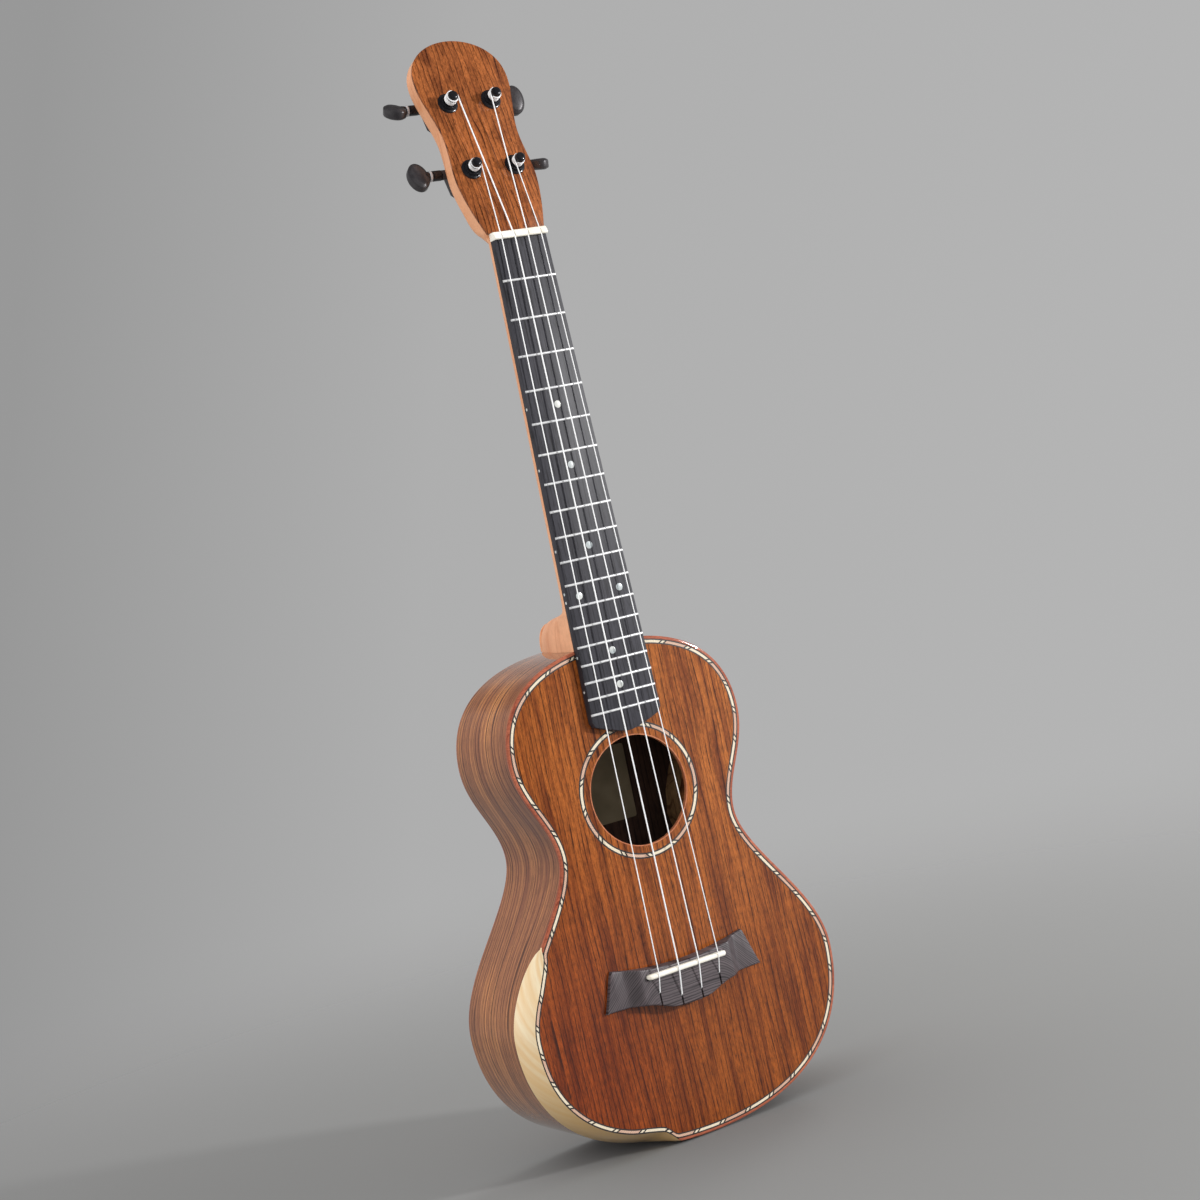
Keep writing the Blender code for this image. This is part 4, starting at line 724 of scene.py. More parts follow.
def half_outline(count=90):
    """From the neck joint down the right side to the tail."""
    down = Vector((0, -1))
    top = Vector((0, JOIN_Z))
    upper = Vector((UPPER_HALF, JOIN_Z - UPPER_AT))
    waist = Vector((WAIST_HALF, JOIN_Z - WAIST_AT))
    lower = Vector((LOWER_HALF, JOIN_Z - LOWER_AT))
    tail = Vector((0, TAIL_Z))
    falling = down * (WAIST_AT - UPPER_AT)
    rising = down * (LOWER_AT - WAIST_AT)
    last = down * (BODY_LENGTH - LOWER_AT)
    curves = ((top, Vector((48.8, JOIN_Z)), upper - down * 0.655 * UPPER_AT, upper),
              (upper, upper + 0.4 * falling, waist - 0.34 * falling, waist),
              (waist, waist + 0.277 * rising, lower - 0.364 * rising, lower),
              (lower, lower + 0.534 * last, Vector((0.727 * LOWER_HALF, TAIL_Z)), tail))
    points = []
    for p0, p1, p2, p3 in curves:
        for i in range(count):
            t = i / count
            s = 1 - t
            points.append(s ** 3 * p0 + 3 * s * s * t * p1 + 3 * s * t * t * p2 + t ** 3 * p3)
    return points + [tail]


def fitted_outline():
    """The closed outline, down the left side and up the right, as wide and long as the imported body."""
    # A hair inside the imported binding
    low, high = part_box("back_binding")
    wide = (high.x / MM - 0.04) / LOWER_HALF
    long = (JOIN_Z - low.z / MM - 0.02) / BODY_LENGTH
    right = [Vector((point.x * wide, JOIN_Z + (point.y - JOIN_Z) * long)) for point in half_outline()]
    return [Vector((-point.x, point.y)) for point in right] + right[-2::-1]


EDGE = fitted_outline()
RUNS = [0.0]
for before, after in zip(EDGE, EDGE[1:]):
    RUNS.append(RUNS[-1] + (after - before).length)
PERIMETER = RUNS[-1]


def on_edge(run):
    """The point at a run along the edge, which starts at the neck and goes down the left side."""
    run = run % PERIMETER
    i = min(bisect.bisect_right(RUNS, run) - 1, len(EDGE) - 2)
    return EDGE[i].lerp(EDGE[i + 1], (run - RUNS[i]) / (RUNS[i + 1] - RUNS[i]))


def rim(run, inset):
    """The point at a run along the edge, moved inward by inset."""
    way = (on_edge(run + 0.8) - on_edge(run - 0.8)).normalized()
    return on_edge(run) + Vector((-way.y, way.x)) * inset


# The armrest's reach inward and its depth, each against the run along the edge.
BEVEL_IN = ((221.5, 0), (227, 3.3), (236, 5.7), (250, 7.1), (280, 7.0), (313, 6.2), (345, 6.0), (372, 6.4),
            (388, 7.4), (396, 7.1), (402, 4.2), (408, 0))
BEVEL_DOWN = ((221.5, 0.6), (225, 4.5), (232, 8.6), (245, 11.5), (270, 12.8), (330, 14.5), (372, 17),
              (390, 17.5), (400, 11), (405, 4.5), (408, 0.6))


def bevel_in(run):
    """The armrest's reach inward, nothing beyond its ends."""
    return traced(BEVEL_IN, run % PERIMETER)


def trim_in(run):
    """Where the marquetry starts."""
    return max(BINDING_WIDTH, bevel_in(run))


def side_front(run):
    """Depth at which the side starts: under the binding, or under the bevel."""
    return max(BINDING_FRONT, traced(BEVEL_DOWN, run % PERIMETER))


def back_y(z):
    """Depth of the back's face, which slopes away towards the tail."""
    return NECK_DEPTH + (TAIL_DEPTH - NECK_DEPTH) * (JOIN_Z - z) / BODY_LENGTH


def inner_outline(inset, count=360):
    """The outline moved inward by a number or by inset(run)."""
    runs = [i * PERIMETER / count for i in range(count)]
    return [tuple(rim(run, inset(run) if callable(inset) else inset)) for run in runs]


RING_STEPS = 420


def ring_form(section):
    """A closed band round the body: section(run) lists (inset, depth) round its section."""
    def form(u, v):
        run = u * PERIMETER
        corners = section(run)
        inset, depth = corners[round(v * len(corners)) % len(corners)]
        point = rim(run, inset)
        return Vector((point.x, depth(point.y) if callable(depth) else depth, point.y))
    return form


def band(name, section, count, across, material, slot):
    """A closed band round the body that replaces the node of its name, its UV map unrolled in millimetres."""
    piece = wrap(name, RING_STEPS, count, ring_form(section),
                 lambda u, v: (u * PERIMETER, across(u * PERIMETER, round(v * count))))
    finish(piece, material, [name])


def edged(v):
    """Where a corner of a strip's section lies on the marquetry's pattern."""
    return (0, PURFLING, 3.2, 6, 6)[round(v * 4)]


def laid(run):
    """The run on the marquetry's own strip, which was laid a little tighter up the right side."""
    return run + max(run - 600, 0) * 0.034


def make_body():
    board = inner_outline(lambda run: trim_in(run) + PURFLING)
    around = [2 * math.pi * i / 128 for i in range(128)]
    radius = HOLE_RADIUS + 0.6
    hole = [(radius * math.sin(a), HOLE_Z + radius * math.cos(a)) for a in around]
    piece = plate("soundboard", [board, hole], SHEET, lambda u, v, d: Vector((u, d, v)))
    finish(piece, TOP_WOOD, ["soundboard"])

    def purfling(run):
        inner = trim_in(run)
        return ((inner, 0.0), (inner + PURFLING, 0.0), (inner + PURFLING, 2.0), (inner, 2.0))
    piece = wrap("top_purfling", RING_STEPS, 4, ring_form(purfling),
                 lambda u, v: (laid(u * PERIMETER), edged(v)))
    finish(piece, MARQUETRY, ["top_purfling"])
    bind = BINDING_WIDTH
    start, end = 405.7, PERIMETER + 224.0
    deep = BINDING_FRONT
    profile = ((0.0, deep), (0.0, 1.0), (0.1, 0.5), (0.35, 0.18), (0.8, 0.03), (bind, 0.0), (bind, deep))

    def binding(u, v):
        run = start + (end - start) * u
        inset, depth = profile[round(v * len(profile)) % len(profile)]
        taken = min(bevel_in(run), bind - 0.05)
        point = rim(run, taken + inset * (bind - taken) / bind)
        return Vector((point.x, depth, point.y))
    piece = wrap("top_binding", 360, len(profile), binding)
    finish(piece, BINDING_WOOD, ["top_binding"], angle=50)

    def lower(gap):
        return lambda z: back_y(z) - gap

    def back_band(run):
        return ((0.0, lower(BINDING_BACK)), (0.0, lower(1.0)), (0.12, lower(0.45)), (0.4, lower(0.14)),
                (0.9, lower(0)), (bind + 0.3, lower(0)), (bind + 0.3, lower(BINDING_BACK)))
    band("back_binding", back_band, 7, lambda run, k: k * 1.5, BINDING_WOOD, "binding")
    piece = plate("back_plate", [inner_outline(bind + 0.25)], SHEET,
                  lambda u, v, d: Vector((u, back_y(v) - SHEET + d, v)))
    finish(piece, BACK_WOOD, ["back_plate"])
    # A thin dark sheet over the back's inner face: painted shade for the dim inside, seen through the
    # soundhole.
    piece = plate("back_shade_sheet", [inner_outline(2.3)], 0.2,
                  lambda u, v, d: Vector((u, back_y(v) - SHEET - 0.25 + d, v)))
    finish(piece, INSIDE_SHADE_WOOD)

    def side(run):
        front = side_front(run) - 0.02
        rows = []
        for k in range(9):
            rows.append((0.0, lambda z, s=k / 8: front + (back_y(z) - BINDING_BACK + 0.02 - front) * s))
        return rows + [(1.8, lower(BINDING_BACK - 0.02)), (1.8, front)]

    def depth_at(run, k):
        front = side_front(run)
        return front + (back_y(on_edge(run).y) - BINDING_BACK - front) * min(k, 8) / 8 + max(k - 8, 0) * 2
    band("sides", side, 11, depth_at, SIDE_WOOD, "side_wood")


def make_bevel():
    """The armrest: its face curves from the marquetry down to the side."""
    start, end = 221.6, 407.9
    rows = 12

    def form(u, v):
        run = start + (end - start) * u
        width = max(bevel_in(run), 0.05)
        drop = max(side_front(run), 0.05)
        k = round(v * (rows + 2))
        if k <= rows:
            share = k / rows
            bulge = math.sin(math.pi * share)
            inset = max(width * (1 - share) - 0.09 * bulge * width, 0.0)
            depth = max(drop * share - 0.035 * bulge * drop, 0.0)
        elif k == rows + 1:
            inset, depth = width, drop
        else:
            inset, depth = width, 0.0
        point = rim(run, inset)
        return Vector((point.x, depth, point.y))

    piece = wrap("armrest_bevel", 150, rows + 2, form, lambda u, v: (start + (end - start) * u, v * 18))
    finish(piece, MAPLE, ["armrest_bevel"], angle=60)


def make_rosette():
    def ring(inner, outer, low, high):
        def form(u, v):
            turn = -2 * math.pi * u
            radius, depth = ((inner, low), (outer, low), (outer, high), (inner, high))[round(v * 4) % 4]
            return Vector((radius * math.sin(turn), depth, HOLE_Z + radius * math.cos(turn)))
        return form
    around = 2 * math.pi * 38.2
    piece = wrap("rosette", 160, 4, ring(*ROSETTE_RADII, -0.02, 1.2), lambda u, v: (u * around, edged(v)))
    finish(piece, ROSETTE_MARQUETRY, ["rosette"])
    # The soundhole's edge: a thin ring of wood, its pale tone a painted highlight on the rim.
    piece = wrap("soundhole_edge", 128, 4, ring(HOLE_RADIUS, HOLE_RADIUS + 0.65, -0.01, SHEET + 0.02))
    finish(piece, HOLE_WOOD_HIGHLIGHT)


# The head's frame

def head_point(x, along, depth):
    """A place on the tilted head: along it from the nut, and depth behind its face."""
    sine = math.sin(HEAD_ANGLE)
    cosine = math.cos(HEAD_ANGLE)
    return Vector((x, -3 + along * sine + depth * cosine, along * cosine - depth * sine))


def head_half_width(along):
    if along >= CROWN_AT:
        return CROWN_HALF * math.sqrt(max(1 - min((along - CROWN_AT) / CROWN_LENGTH, 1) ** 2.25, 0))
    if along >= HEAD_WAIST_AT:
        return eased(HEAD_WAIST_HALF, CROWN_HALF, (along - HEAD_WAIST_AT) / (CROWN_AT - HEAD_WAIST_AT))
    if along >= SHOULDER_AT:
        return eased(SHOULDER_HALF, HEAD_WAIST_HALF, (along - SHOULDER_AT) / (HEAD_WAIST_AT - SHOULDER_AT))
    return SHOULDER_HALF - 9.1 * (1 - max(along, 0) / SHOULDER_AT) ** 1.55


def head_alongs(rows, crown):
    """Places along the head, closer together round its crown."""
    return ([HEAD_BREAK + (CROWN_AT - HEAD_BREAK) * i / rows for i in range(rows)]
            + [CROWN_AT + CROWN_LENGTH * math.sin(math.pi / 2 * i / crown) for i in range(crown)])


def board_half_width(z):
    return 17.2 + 6.05 * z / LAST_FRET_Z


# The heel's depth, as a share, against the height above the body.
HEEL_CURVE = ((0.0, 1.0), (7, 0.96), (11, 0.90), (14, 0.82), (16.5, 0.73), (18.0, 0.63), (19.0, 0.50),
              (19.7, 0.35), (20.4, 0.20), (21.4, 0.09), (23.5, 0.03), (28, 0.006), (HEEL_LENGTH, 0.0))


def neck_stops():
    """Sections from the head's tip to the heel: half width, depth, roundness and where it lies."""
    stops = []
    tip = HEAD_LENGTH - 0.08
    for along in reversed(head_alongs(44, 16) + [tip]):
        half = max(head_half_width(along), head_half_width(tip))
        swell = eased(3.0, 0, (along - HEAD_BREAK) / 20)
        power = eased(2.4, 11.0, (along - HEAD_BREAK) / 16)
        stops.append((half, 10.5 + swell, power, lambda x, d, a=along: head_point(x, a, VENEER + d)))
    heel_top = JOIN_Z + HEEL_LENGTH
    flat = [0.0, -2.5, -6] + [-12 + (heel_top + 12) * i / 20 for i in range(20)]
    for z in flat:
        depth = 13.5 + 2.0 * z / heel_top
        stops.append((board_half_width(z), depth, 1.95, lambda x, d, z=z: Vector((x, d, z))))
    # Coarse steps down to 23 mm over the body, then fine ones through the heel's curve.
    for i in range(44):
        above = HEEL_LENGTH - 20 * i / 7 if i < 7 else 23 - 22.95 * (i - 7) / 36
        share = traced(HEEL_CURVE, above)
        z = JOIN_Z + above
        stops.append((board_half_width(z), 15.5 + 66.3 * share, eased(1.95, 1.35, share * 1.6),
                      lambda x, d, z=z, low=max(1 - above / 3, 0): Vector((x, d, z - 0.0031 * x * x * low))))
    return stops


def make_neck():
    stops = neck_stops()
    around, front = 36, 6

    def form(u, v):
        half, depth, power, place = stops[round(u * (len(stops) - 1))]
        k = round(v * (around + front))
        if k <= around:
            turn = math.pi * k / around
            x = math.copysign(abs(math.cos(turn)) ** (2 / power), math.cos(turn))
            return place(half * x, depth * math.sin(turn) ** (2 / power))
        return place(half * (2 * (k - around) / front - 1), 0)
    piece = wrap("neck", len(stops) - 1, around + front, form)
    start_edit()
    bpy.ops.mesh.bisect(plane_co=(0, HEEL_CUT * MM, 0), plane_no=(0, 1, 0), use_fill=True, clear_outer=True)
    end_edit()
    finish(piece, NECK_WOOD, ["neck"], angle=40)
    foot = [corner.co for corner in piece.data.vertices if abs(corner.co.y / MM - HEEL_CUT) < 0.01]
    half = max(corner.x for corner in foot) / MM
    front_z = max(corner.z for corner in foot) / MM
    arc = [math.pi * i / 24 for i in range(25)]
    low = JOIN_Z + 0.3
    loop = [(half * math.cos(a), low + (front_z - low) * math.sin(a) ** 0.8) for a in arc]
    piece = plate("heel_cap", [loop], 1.5, lambda u, v, d: Vector((u, HEEL_CUT + 0.05 + d, v)), 0.3)
    finish(piece, NECK_WOOD, ["heel_cap"])
    edge = [(head_half_width(along), along) for along in head_alongs(40, 20)]
    loop = edge + [(0, HEAD_LENGTH)] + [(-x, along) for x, along in edge[::-1]]
    piece = plate("head_veneer", [loop], VENEER, head_point, 0.35)
    finish(piece, FACE_WOOD, ["head_veneer"])


def make_fingerboard():
    end = LAST_FRET_Z - 4.0
    half = board_half_width(end)
    side = [(board_half_width(-0.1), -0.1), (half, end), (half * 0.94, end - 3.04), (half * 0.66, end - 5.6),
            (half * 0.22, end - 8.74)]
    loop = side + [(0, end - 9.5)] + [(-x, z) for x, z in side[::-1]]
    piece = plate("fingerboard", [loop], 4.93, lambda u, v, d: Vector((u, BOARD_TOP + d, v)), 0.35)
    finish(piece, BOARD_WOOD, ["fingerboard"])
    make_frets()
    front = [(x, BOARD_TOP + 0.06, z) for x, z in DOT_PLACES]
    make_dots("position_dot", stacked("dot", 32, ((2.15, 0.0), (2.15, 0.10), (2.05, 0.14))),
              Matrix.Rotation(math.pi / 2, 4, "X"), front)
    # At the side the pair lies one after the other.
    side = [z - 2.5 * x / DOT_ASIDE for x, z in DOT_PLACES]
    make_dots("side_dot", stacked("spot", 20, ((0.85, 0.0), (0.85, 0.3), (0.8, 0.34))),
              Matrix.Rotation(-math.pi / 2, 4, "Y"), [(-board_half_width(z) + 0.25, -2.6, z) for z in side])


def make_frets():
    """One fret wire with a domed face and slanted ends, copied and widened for each place."""
    start_clear()
    half = 10
    bpy.ops.mesh.primitive_cylinder_add(vertices=24, radius=1.0 * MM, depth=2 * half * MM,
                                        rotation=(0, math.pi / 2, 0))
    fret = bpy.context.object
    bpy.ops.object.transform_apply(location=True, rotation=True, scale=True)
    start_edit()
    bpy.ops.transform.resize(value=(1, 0.9, 0.72), center_override=(0, 0, 0))
    bpy.ops.mesh.bisect(plane_co=(0, 0.05 * MM, 0), plane_no=(0, 1, 0), use_fill=True, clear_outer=True)
    for way in (-1, 1):
        bpy.ops.mesh.select_all(action="SELECT")
        bpy.ops.mesh.bisect(plane_co=(way * half * MM, 0, 0), plane_no=(way, -0.7, 0), use_fill=True,
                            clear_outer=True)
    bpy.ops.object.mode_set(mode="OBJECT")
    rounded(fret, 0.12, 2, 50)
    for number in range(1, 19):
        z = fret_z(number)
        one = copied(fret, f"fret_{number}")
        longer = board_half_width(z) - 0.02 - half
        for corner in one.data.vertices:
            corner.co += Vector((math.copysign(longer, corner.co.x), BOARD_TOP, z)) * MM
        finish(one, FRET_METAL, angle=45)
    bpy.data.objects.remove(fret, do_unlink=True)


def make_dots(name, disc, turn, places):
    """Copies of one turned disc at their places."""
    disc.data.transform(turn)
    for k, place in enumerate(places):
        one = copied(disc, f"{name}_{k + 1}")
        one.data.transform(Matrix.Translation(Vector(place) * MM))
        finish(one, PEARL)
    bpy.data.objects.remove(disc, do_unlink=True)


def bridge_edges(x):
    """Where the bridge's front and back edge lie: the front hollow, the back with a point in the middle."""
    front_mid = SADDLE_Z + 3.2
    back = front_mid - 17.2 - 7.8 / (1 + (x / 21) ** 4)
    if abs(x) <= BRIDGE_HALF:
        return front_mid + 5.4 * (x / BRIDGE_HALF) ** 2, back
    share = (abs(x) - BRIDGE_HALF) / 7.8
    return front_mid + 5.4 + (back - front_mid - 5.4) * share, back


def make_bridge():
    stops = [-53.25, -52.9] + [-52.3 + 104.6 * i / 130 for i in range(131)] + [52.9, 53.25]
    arc = [math.pi * k / 8 for k in (1, 2, 3)]

    def form(u, v):
        x = stops[round(u * (len(stops) - 1))]
        front, back = bridge_edges(x)
        top = -eased(BRIDGE_HEIGHT, WING_HEIGHT, (abs(x) - 30) / 9)
        soft = min(1.1, -top / 3, (front - back) / 5)
        corners = [(front, -0.04), (front, top + soft)]
        corners += [(front - soft * (1 - math.cos(a)), top + soft * (1 - math.sin(a))) for a in arc]
        corners += [(front - soft, top), (back + soft, top)]
        corners += [(back + soft * (1 - math.cos(a)), top + soft * (1 - math.sin(a))) for a in arc[::-1]]
        corners += [(back, top + soft), (back, -0.04)]
        z, y = corners[round(v * len(corners)) % len(corners)]
        return Vector((x, y, z))
    piece = wrap("bridge", len(stops) - 1, 12, form)
    half = SADDLE_HALF + 0.15
    tools = [block("saddle_slot", (-half, -12, SADDLE_Z - 1.6), (half, -5.1, SADDLE_Z + 1.6))]
    for i, start in enumerate(SLOT_STARTS):
        x = (i - 1.5) * SADDLE_SPACING
        tools.append(block(f"slot_{i}", (x - 0.55, -12, SADDLE_Z - 39),
                           (x + 0.55, SLOT_DEPTH - BRIDGE_HEIGHT, SADDLE_Z - start + 0.8)))
    cut(piece, tools)
    finish(piece, BRIDGE_WOOD, ["bridge"], angle=32)


def make_saddle():
    """A blade of bone with a round crown and round ends."""
    def form(u, v):
        x = SADDLE_HALF * math.sin(math.pi / 2 * (2 * u - 1))
        left = SADDLE_HALF - abs(x)
        fall = 2.6 * (1 - math.sqrt(max(1 - max(1 - left / 2.6, 0) ** 2, 0)))
        wide = 1.5 * math.sqrt(max(1 - max(1 - left / 1.5, 0) ** 2, 0.01))
        k = round(v * 12)
        if k >= 11:
            return Vector((x, -5.3, SADDLE_Z + (wide if k == 11 else -wide)))
        turn = math.pi * k / 10
        return Vector((x, -10.8 + fall - 1.2 * math.sin(turn), SADDLE_Z - wide * math.cos(turn)))
    finish(wrap("saddle", 40, 12, form), BONE, ["saddle"], angle=50)


# Strings, tuners

def post_place(i):
    """The side and the row of a string's post."""
    side = -1 if i < 2 else 1
    return side, POST_ROWS[0 if i in (0, 3) else 1]


def post_ring(i, turn, height, radius):
    """A place round a post, its height over the head's face."""
    side, row = post_place(i)
    return head_point(side * POST_OFFSET + radius * math.cos(turn), row + radius * math.sin(turn), -height)


def wrap_heights(width):
    """The lowest and the highest turn round a post, over the head's face."""
    low = WRAP_START + width / 2
    return low, low + 3 * (width + 0.45)


def make_strings():
    """Each string from its slot in the bridge over saddle and nut to its last turn, then its winding."""
    for i, width in enumerate(STRING_WIDTHS):
        side, row = post_place(i)
        radius = POST_RADIUS + width / 2
        high = wrap_heights(width)[1]
        nut = Vector(((i - 1.5) * NUT_SPACING, NUT_TOP, 0))
        over = Vector(((i - 1.5) * SADDLE_SPACING, SADDLE_TOP - width / 2, SADDLE_Z))
        entry = Vector((over.x, -BRIDGE_HEIGHT - width / 2, SADDLE_Z - SLOT_STARTS[i]))
        tail = entry + Vector((0, 3.4, -2.2))
        before = over + (entry - over).normalized() * 1.2
        after = over + (nut - over).normalized() * 1.2
        away = Vector((nut.x - side * POST_OFFSET, -row))
        turn = math.atan2(away.y, away.x) - side * math.acos(radius / away.length)
        way = -side
        wrapped = [post_ring(i, turn + way * math.radians(315) * k / 40, high, radius) for k in range(41)]
        points = [tail, entry, before, over + Vector((0, 0.12, 0)), after]
        points += [after.lerp(nut, share) for share in (0.25, 0.5, 0.75)] + [nut]
        points += [nut.lerp(wrapped[0], share) for share in (0.3, 0.6, 0.9)] + wrapped
        name = f"string_{i + 1}"
        finish(strand(name, points, width), NYLON, [name])
        make_winding(i, width, turn + way * math.radians(280), way, radius)


def make_winding(i, width, start, way, radius):
    """One helix down the post, turn by turn without a gap, its end bent inwards."""
    low, high = wrap_heights(width)
    laps = int((high - low) / (width + 0.02))
    pitch = (high - low) / laps
    steps = (laps - 1) * LAP_STEPS
    points = [post_ring(i, start + way * 2 * math.pi * k / LAP_STEPS, high - pitch - pitch * k / LAP_STEPS,
                        radius) for k in range(steps + 1)]
    end = start + way * 2 * math.pi * (steps + 3) / LAP_STEPS
    points += [post_ring(i, end - way * 0.2, low, radius * 0.95), post_ring(i, end, low, radius * 0.6)]
    name = f"winding_{i + 1}"
    finish(strand(name, points, width, 8), NYLON, [name], f"post_{i + 1}_spindle")


def tuner_frame(i):
    """The post's own frame: X to its button, Z out of the head's face."""
    side, row = post_place(i)
    out = Vector((side, 0, 0))
    normal = Vector((0, -math.cos(HEAD_ANGLE), math.sin(HEAD_ANGLE)))
    frame_axes = Matrix((out, normal.cross(out), normal)).transposed().to_4x4()
    return Matrix.Translation(head_point(side * POST_OFFSET, row, 0) * MM) @ frame_axes, side


def make_button():
    """An oval button: a bevelled rim round two raised faces, thicker at its outer end, X along its shaft."""
    start_clear()
    bpy.ops.mesh.primitive_cylinder_add(vertices=64, radius=1 * MM, depth=5.0 * MM, end_fill_type="NGON")
    piece = bpy.context.object
    start_edit()
    bpy.ops.transform.resize(value=(BUTTON_HALF, 9.0, 1), center_override=(0, 0, 0))
    bpy.ops.object.mode_set(mode="OBJECT")
    rounded(piece, 1.1, 4, 50)
    for way in (-1, 1):
        for face in piece.data.polygons:
            face.select = face.normal.z * way > 0.99
        bpy.ops.object.mode_set(mode="EDIT")
        bpy.ops.mesh.select_mode(type="FACE")
        for step, lift in ((0.45, 0.35), (0.9, 0.25)):
            bpy.ops.mesh.inset(thickness=step * MM)
            bpy.ops.transform.translate(value=(0, 0, way * lift * MM))
        bpy.ops.mesh.select_all(action="DESELECT")
        bpy.ops.mesh.select_mode(type="VERT")
        bpy.ops.object.mode_set(mode="OBJECT")
    for corner in piece.data.vertices:
        corner.co.z *= 1.04 + 0.10 * corner.co.x / (BUTTON_HALF * MM)
    return piece


def slimmed(case, matrix, side):
    """The housing's outer corners, drawn in towards its post."""
    for corner in case.data.vertices:
        x, y, z = matrix.inverted() @ corner.co / MM
        if x > 3 and -side * y > 3:
            x -= 3.0 * min((-side * y - 3) / 4.2, 1)
            corner.co = matrix @ (Vector((x, y, z)) * MM)
    return case


def make_tuners():
    button = make_button()
    collar = spun("collar", ((1.45, 0), (3.1, 0), (3.3, 0.2), (3.3, 1.3), (3.1, 1.5), (1.45, 1.5)))
    stem = spun("stem", ((1.45, 0), (2.8, 0), (3.1, 0.3), (3.1, 5.2), (2.8, 5.6), (2.8, 7.9), (3.1, 8.9),
                         (3.2, 10.2), (1.45, 10.4)))
    bushing = spun("bushing", ((3.15, 0.02), (6.2, 0.02), (6.3, 0.3), (6.15, 0.7), (5.7, 0.95), (4.6, 1.05),
                               (4.5, 1.3), (4.5, 2.25), (4.15, 2.6), (3.15, 2.6)), 48)
    screw = stacked("screw", 24, ((1.6, 0.0), (1.6, 0.25), (1.35, 0.6), (0.8, 0.85), (0.1, 0.9)))
    cut(screw, [block("slot_a", (-0.9, -0.14, 0.45), (0.9, 0.14, 2)),
                block("slot_b", (-0.14, -0.9, 0.45), (0.14, 0.9, 2))])
    for i, width in enumerate(STRING_WIDTHS):
        matrix, side = tuner_frame(i)
        number = i + 1
        shaft = f"button_{number}_shaft"

        def at(x, y, z):
            return matrix @ Matrix.Translation(Vector((x, y, z)) * MM)
        top = wrap_heights(width)[1] + width / 2 + 0.3
        tip = max(10.5, top + 1.6)
        name = f"post_{number}"
        post = stacked(name, 36, ((3.0, -20.3), (3.0, 3.3), (2.6, 3.6), (2.6, top - 0.1), (2.95, top),
                                  (2.95, tip - 1.35), (2.75, tip - 0.7), (2.3, tip - 0.3), (1.6, tip - 0.08),
                                  (0.7, tip)))
        finish(settle(post, matrix), BLACK_METAL, [name], f"{name}_spindle", 32)
        name = f"bushing_{number}"
        finish(settle(copied(bushing, name), matrix), BLACK_METAL, [name])
        name = f"tuner_housing_{number}"
        finish(slimmed(polished(name, 0.35), matrix, side), BLACK_SATIN, [name])
        seat = at(0, -side * 10.4, CASE_FRONT - 1.2) @ Matrix.Rotation(math.pi, 4, "X")
        finish(settle(copied(screw, f"tuner_screw_{number}"), seat), BLACK_METAL)
        name = f"button_{number}"
        turn = Matrix.Rotation(math.radians(BUTTON_TURNS[i]), 4, "X")
        piece = settle(copied(button, name), at(BUTTON_AT, side * WORM_ASIDE, WORM_DEPTH) @ turn)
        finish(piece, BLACK_SATIN, [name], shaft, 50)
        for kind, along, paint, slot in ((collar, 17.3, SILVER, "silver"),
                                         (stem, 10.9, BLACK_METAL, "black_metal")):
            seat = at(along, side * WORM_ASIDE, WORM_DEPTH) @ Matrix.Rotation(math.pi / 2, 4, "Y")
            piece = settle(copied(kind, f"button_{kind.name}_{number}"), seat)
            finish(piece, paint, (), shaft)
    for made in (button, collar, stem, bushing, screw):
        bpy.data.objects.remove(made, do_unlink=True)


def dress_nodes():
    """Nodes whose shape stays as it is, with their own finish."""
    paints = {"label": PAPER}
    for name in ("neck_block", "tail_block", "top_lining_left", "top_lining_right", "back_lining_left",
                 "back_lining_right", "upper_brace", "fan_bracing", "bridge_plate", "back_brace_upper",
                 "back_brace_lower"):
        paints[name] = INNER_WOOD
    for number in range(1, 5):
        paints[f"gear_{number}"] = BRASS
        paints[f"worm_{number}"] = SILVER
    for name, paint in paints.items():
        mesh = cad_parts[name].data
        mesh.materials.clear()
        mesh.materials.append(paint)


# Studio

def make_floor():
    start_clear()
    bpy.ops.mesh.primitive_circle_add(vertices=96, radius=6, fill_type="NGON",
                                      location=(0, 0.03, TAIL_Z * MM - 0.6 * MM))
    floor = named(bpy.context.object, "floor")
    ground = Finish("floor_paint", 0.9)
    x, y, _ = ground.split(ground.place)
    # Darker to the left and lighter to the right: painted light falloff on the floor.
    ground.colour(ground.mix(ground.within(x, -0.5, 0.4), tone(120, 120, 119), tone(134, 134, 133)))
    far = ground.calc("SQRT", x * x + y * y)
    clear = ground.add("BsdfTransparent")
    blend = ground.add("MixShader", ground.within(far, 0.25, 1.3), ground.shader.outputs[0], clear.outputs[0])
    ground.put(ground.tree.nodes["Material Output"].inputs["Surface"], blend.outputs[0])
    floor.data.materials.append(ground.made)


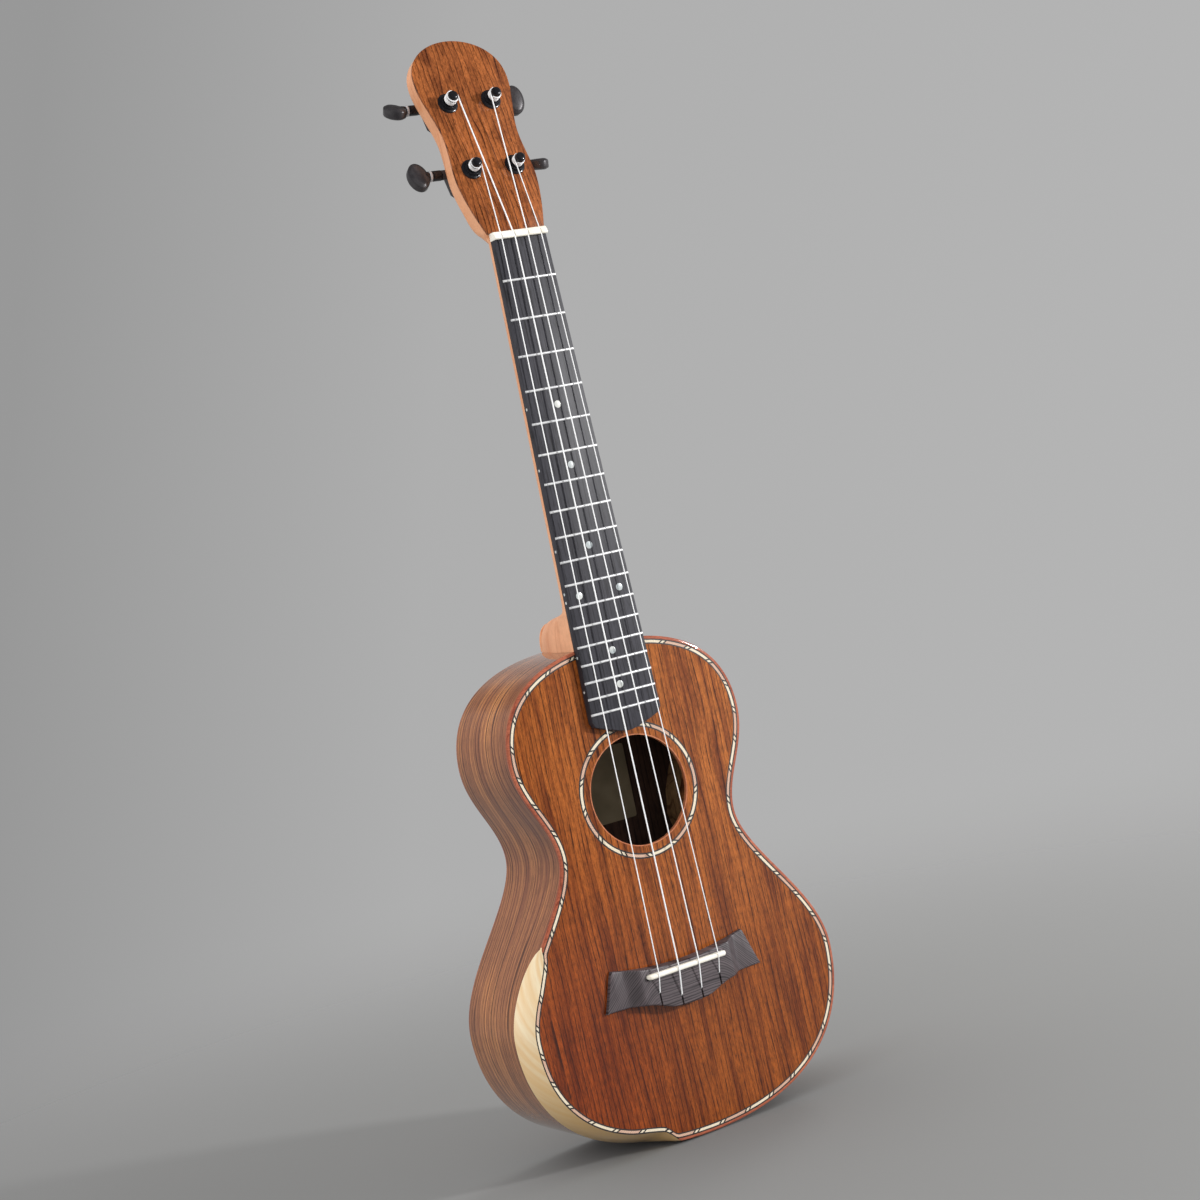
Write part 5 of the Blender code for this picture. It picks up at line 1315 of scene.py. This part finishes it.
def make_world():
    """The studio's walls: one tone for what is seen and mirrored, and a soft fill that lights the rest."""
    world = bpy.data.worlds.new("studio")
    bpy.context.scene.world = world
    world.use_nodes = True
    room = Nodes(world.node_tree)
    across, away, up = room.split(room.add("TexCoord").outputs["Generated"])
    lean = across + up * -0.25
    wall = room.ramp(lean, 0.24, 0.42, 0.315, 0.425) * room.ramp(lean, 0.42, 0.7, 1.0, 1.08)
    mirrored = room.calc("MAXIMUM", room.ramp(away, -0.6, 0.5), room.ramp(lean, 0.46, 0.55, 0.1, 1.1))
    mirrored = mirrored * room.ramp(up, 0.39, 0.46, 1.0, 0.2)
    rays = room.add("LightPath").outputs
    dimmed = room.add("Mix", rays["Is Glossy Ray"])
    room.put(dimmed.inputs[2], 1.0)
    room.put(dimmed.inputs[3], mirrored)
    shown = room.tree.nodes["Background"]
    shown.inputs["Strength"].default_value = 1.0
    room.put(shown.inputs["Color"], wall * dimmed.outputs[0])
    fill = room.add("Background")
    soft = room.ramp(across, -0.9, 0.7, 0.92, 0.34) * room.ramp(up, -0.5, 0.5, 0.42, 1.22)
    room.put(fill.inputs["Color"], soft)
    fill.inputs["Strength"].default_value = 1.55
    seen = room.calc("MAXIMUM", rays["Is Camera Ray"], rays["Is Glossy Ray"])
    seen = room.calc("MAXIMUM", seen, rays["Is Transmission Ray"])
    blend = room.add("MixShader", seen, fill.outputs[0], shown.outputs[0])
    room.put(room.tree.nodes["World Output"].inputs["Surface"], blend.outputs[0])


def make_lamps():
    for name, place, aim, size, power in (("key", (2.0, -2.0, 0.3), (0, 0, -0.25), 0.22, 66),
                                          ("back_fill", (1.9, 1.2, 1.2), (0, 0, -0.2), 0.8, 16)):
        lamp = bpy.data.lights.new(name, "AREA")
        lamp.shape = "SQUARE"
        lamp.size = size
        lamp.energy = power
        made = bpy.data.objects.new(name, lamp)
        bpy.context.scene.collection.objects.link(made)
        made.location = place
        made.visible_glossy = name == "key"
        made.rotation_mode = "QUATERNION"
        made.rotation_quaternion = (Vector(aim) - Vector(place)).to_track_quat("-Z", "Y")


make_body()
make_bevel()
make_rosette()
make_neck()
make_fingerboard()
make_bridge()
make_saddle()
finish(polished("nut", 0.28), BONE, ["nut"])
make_strings()
make_tuners()
dress_nodes()
make_floor()
make_world()
make_lamps()
bpy.context.scene.view_settings.view_transform = "Standard"
start_clear()
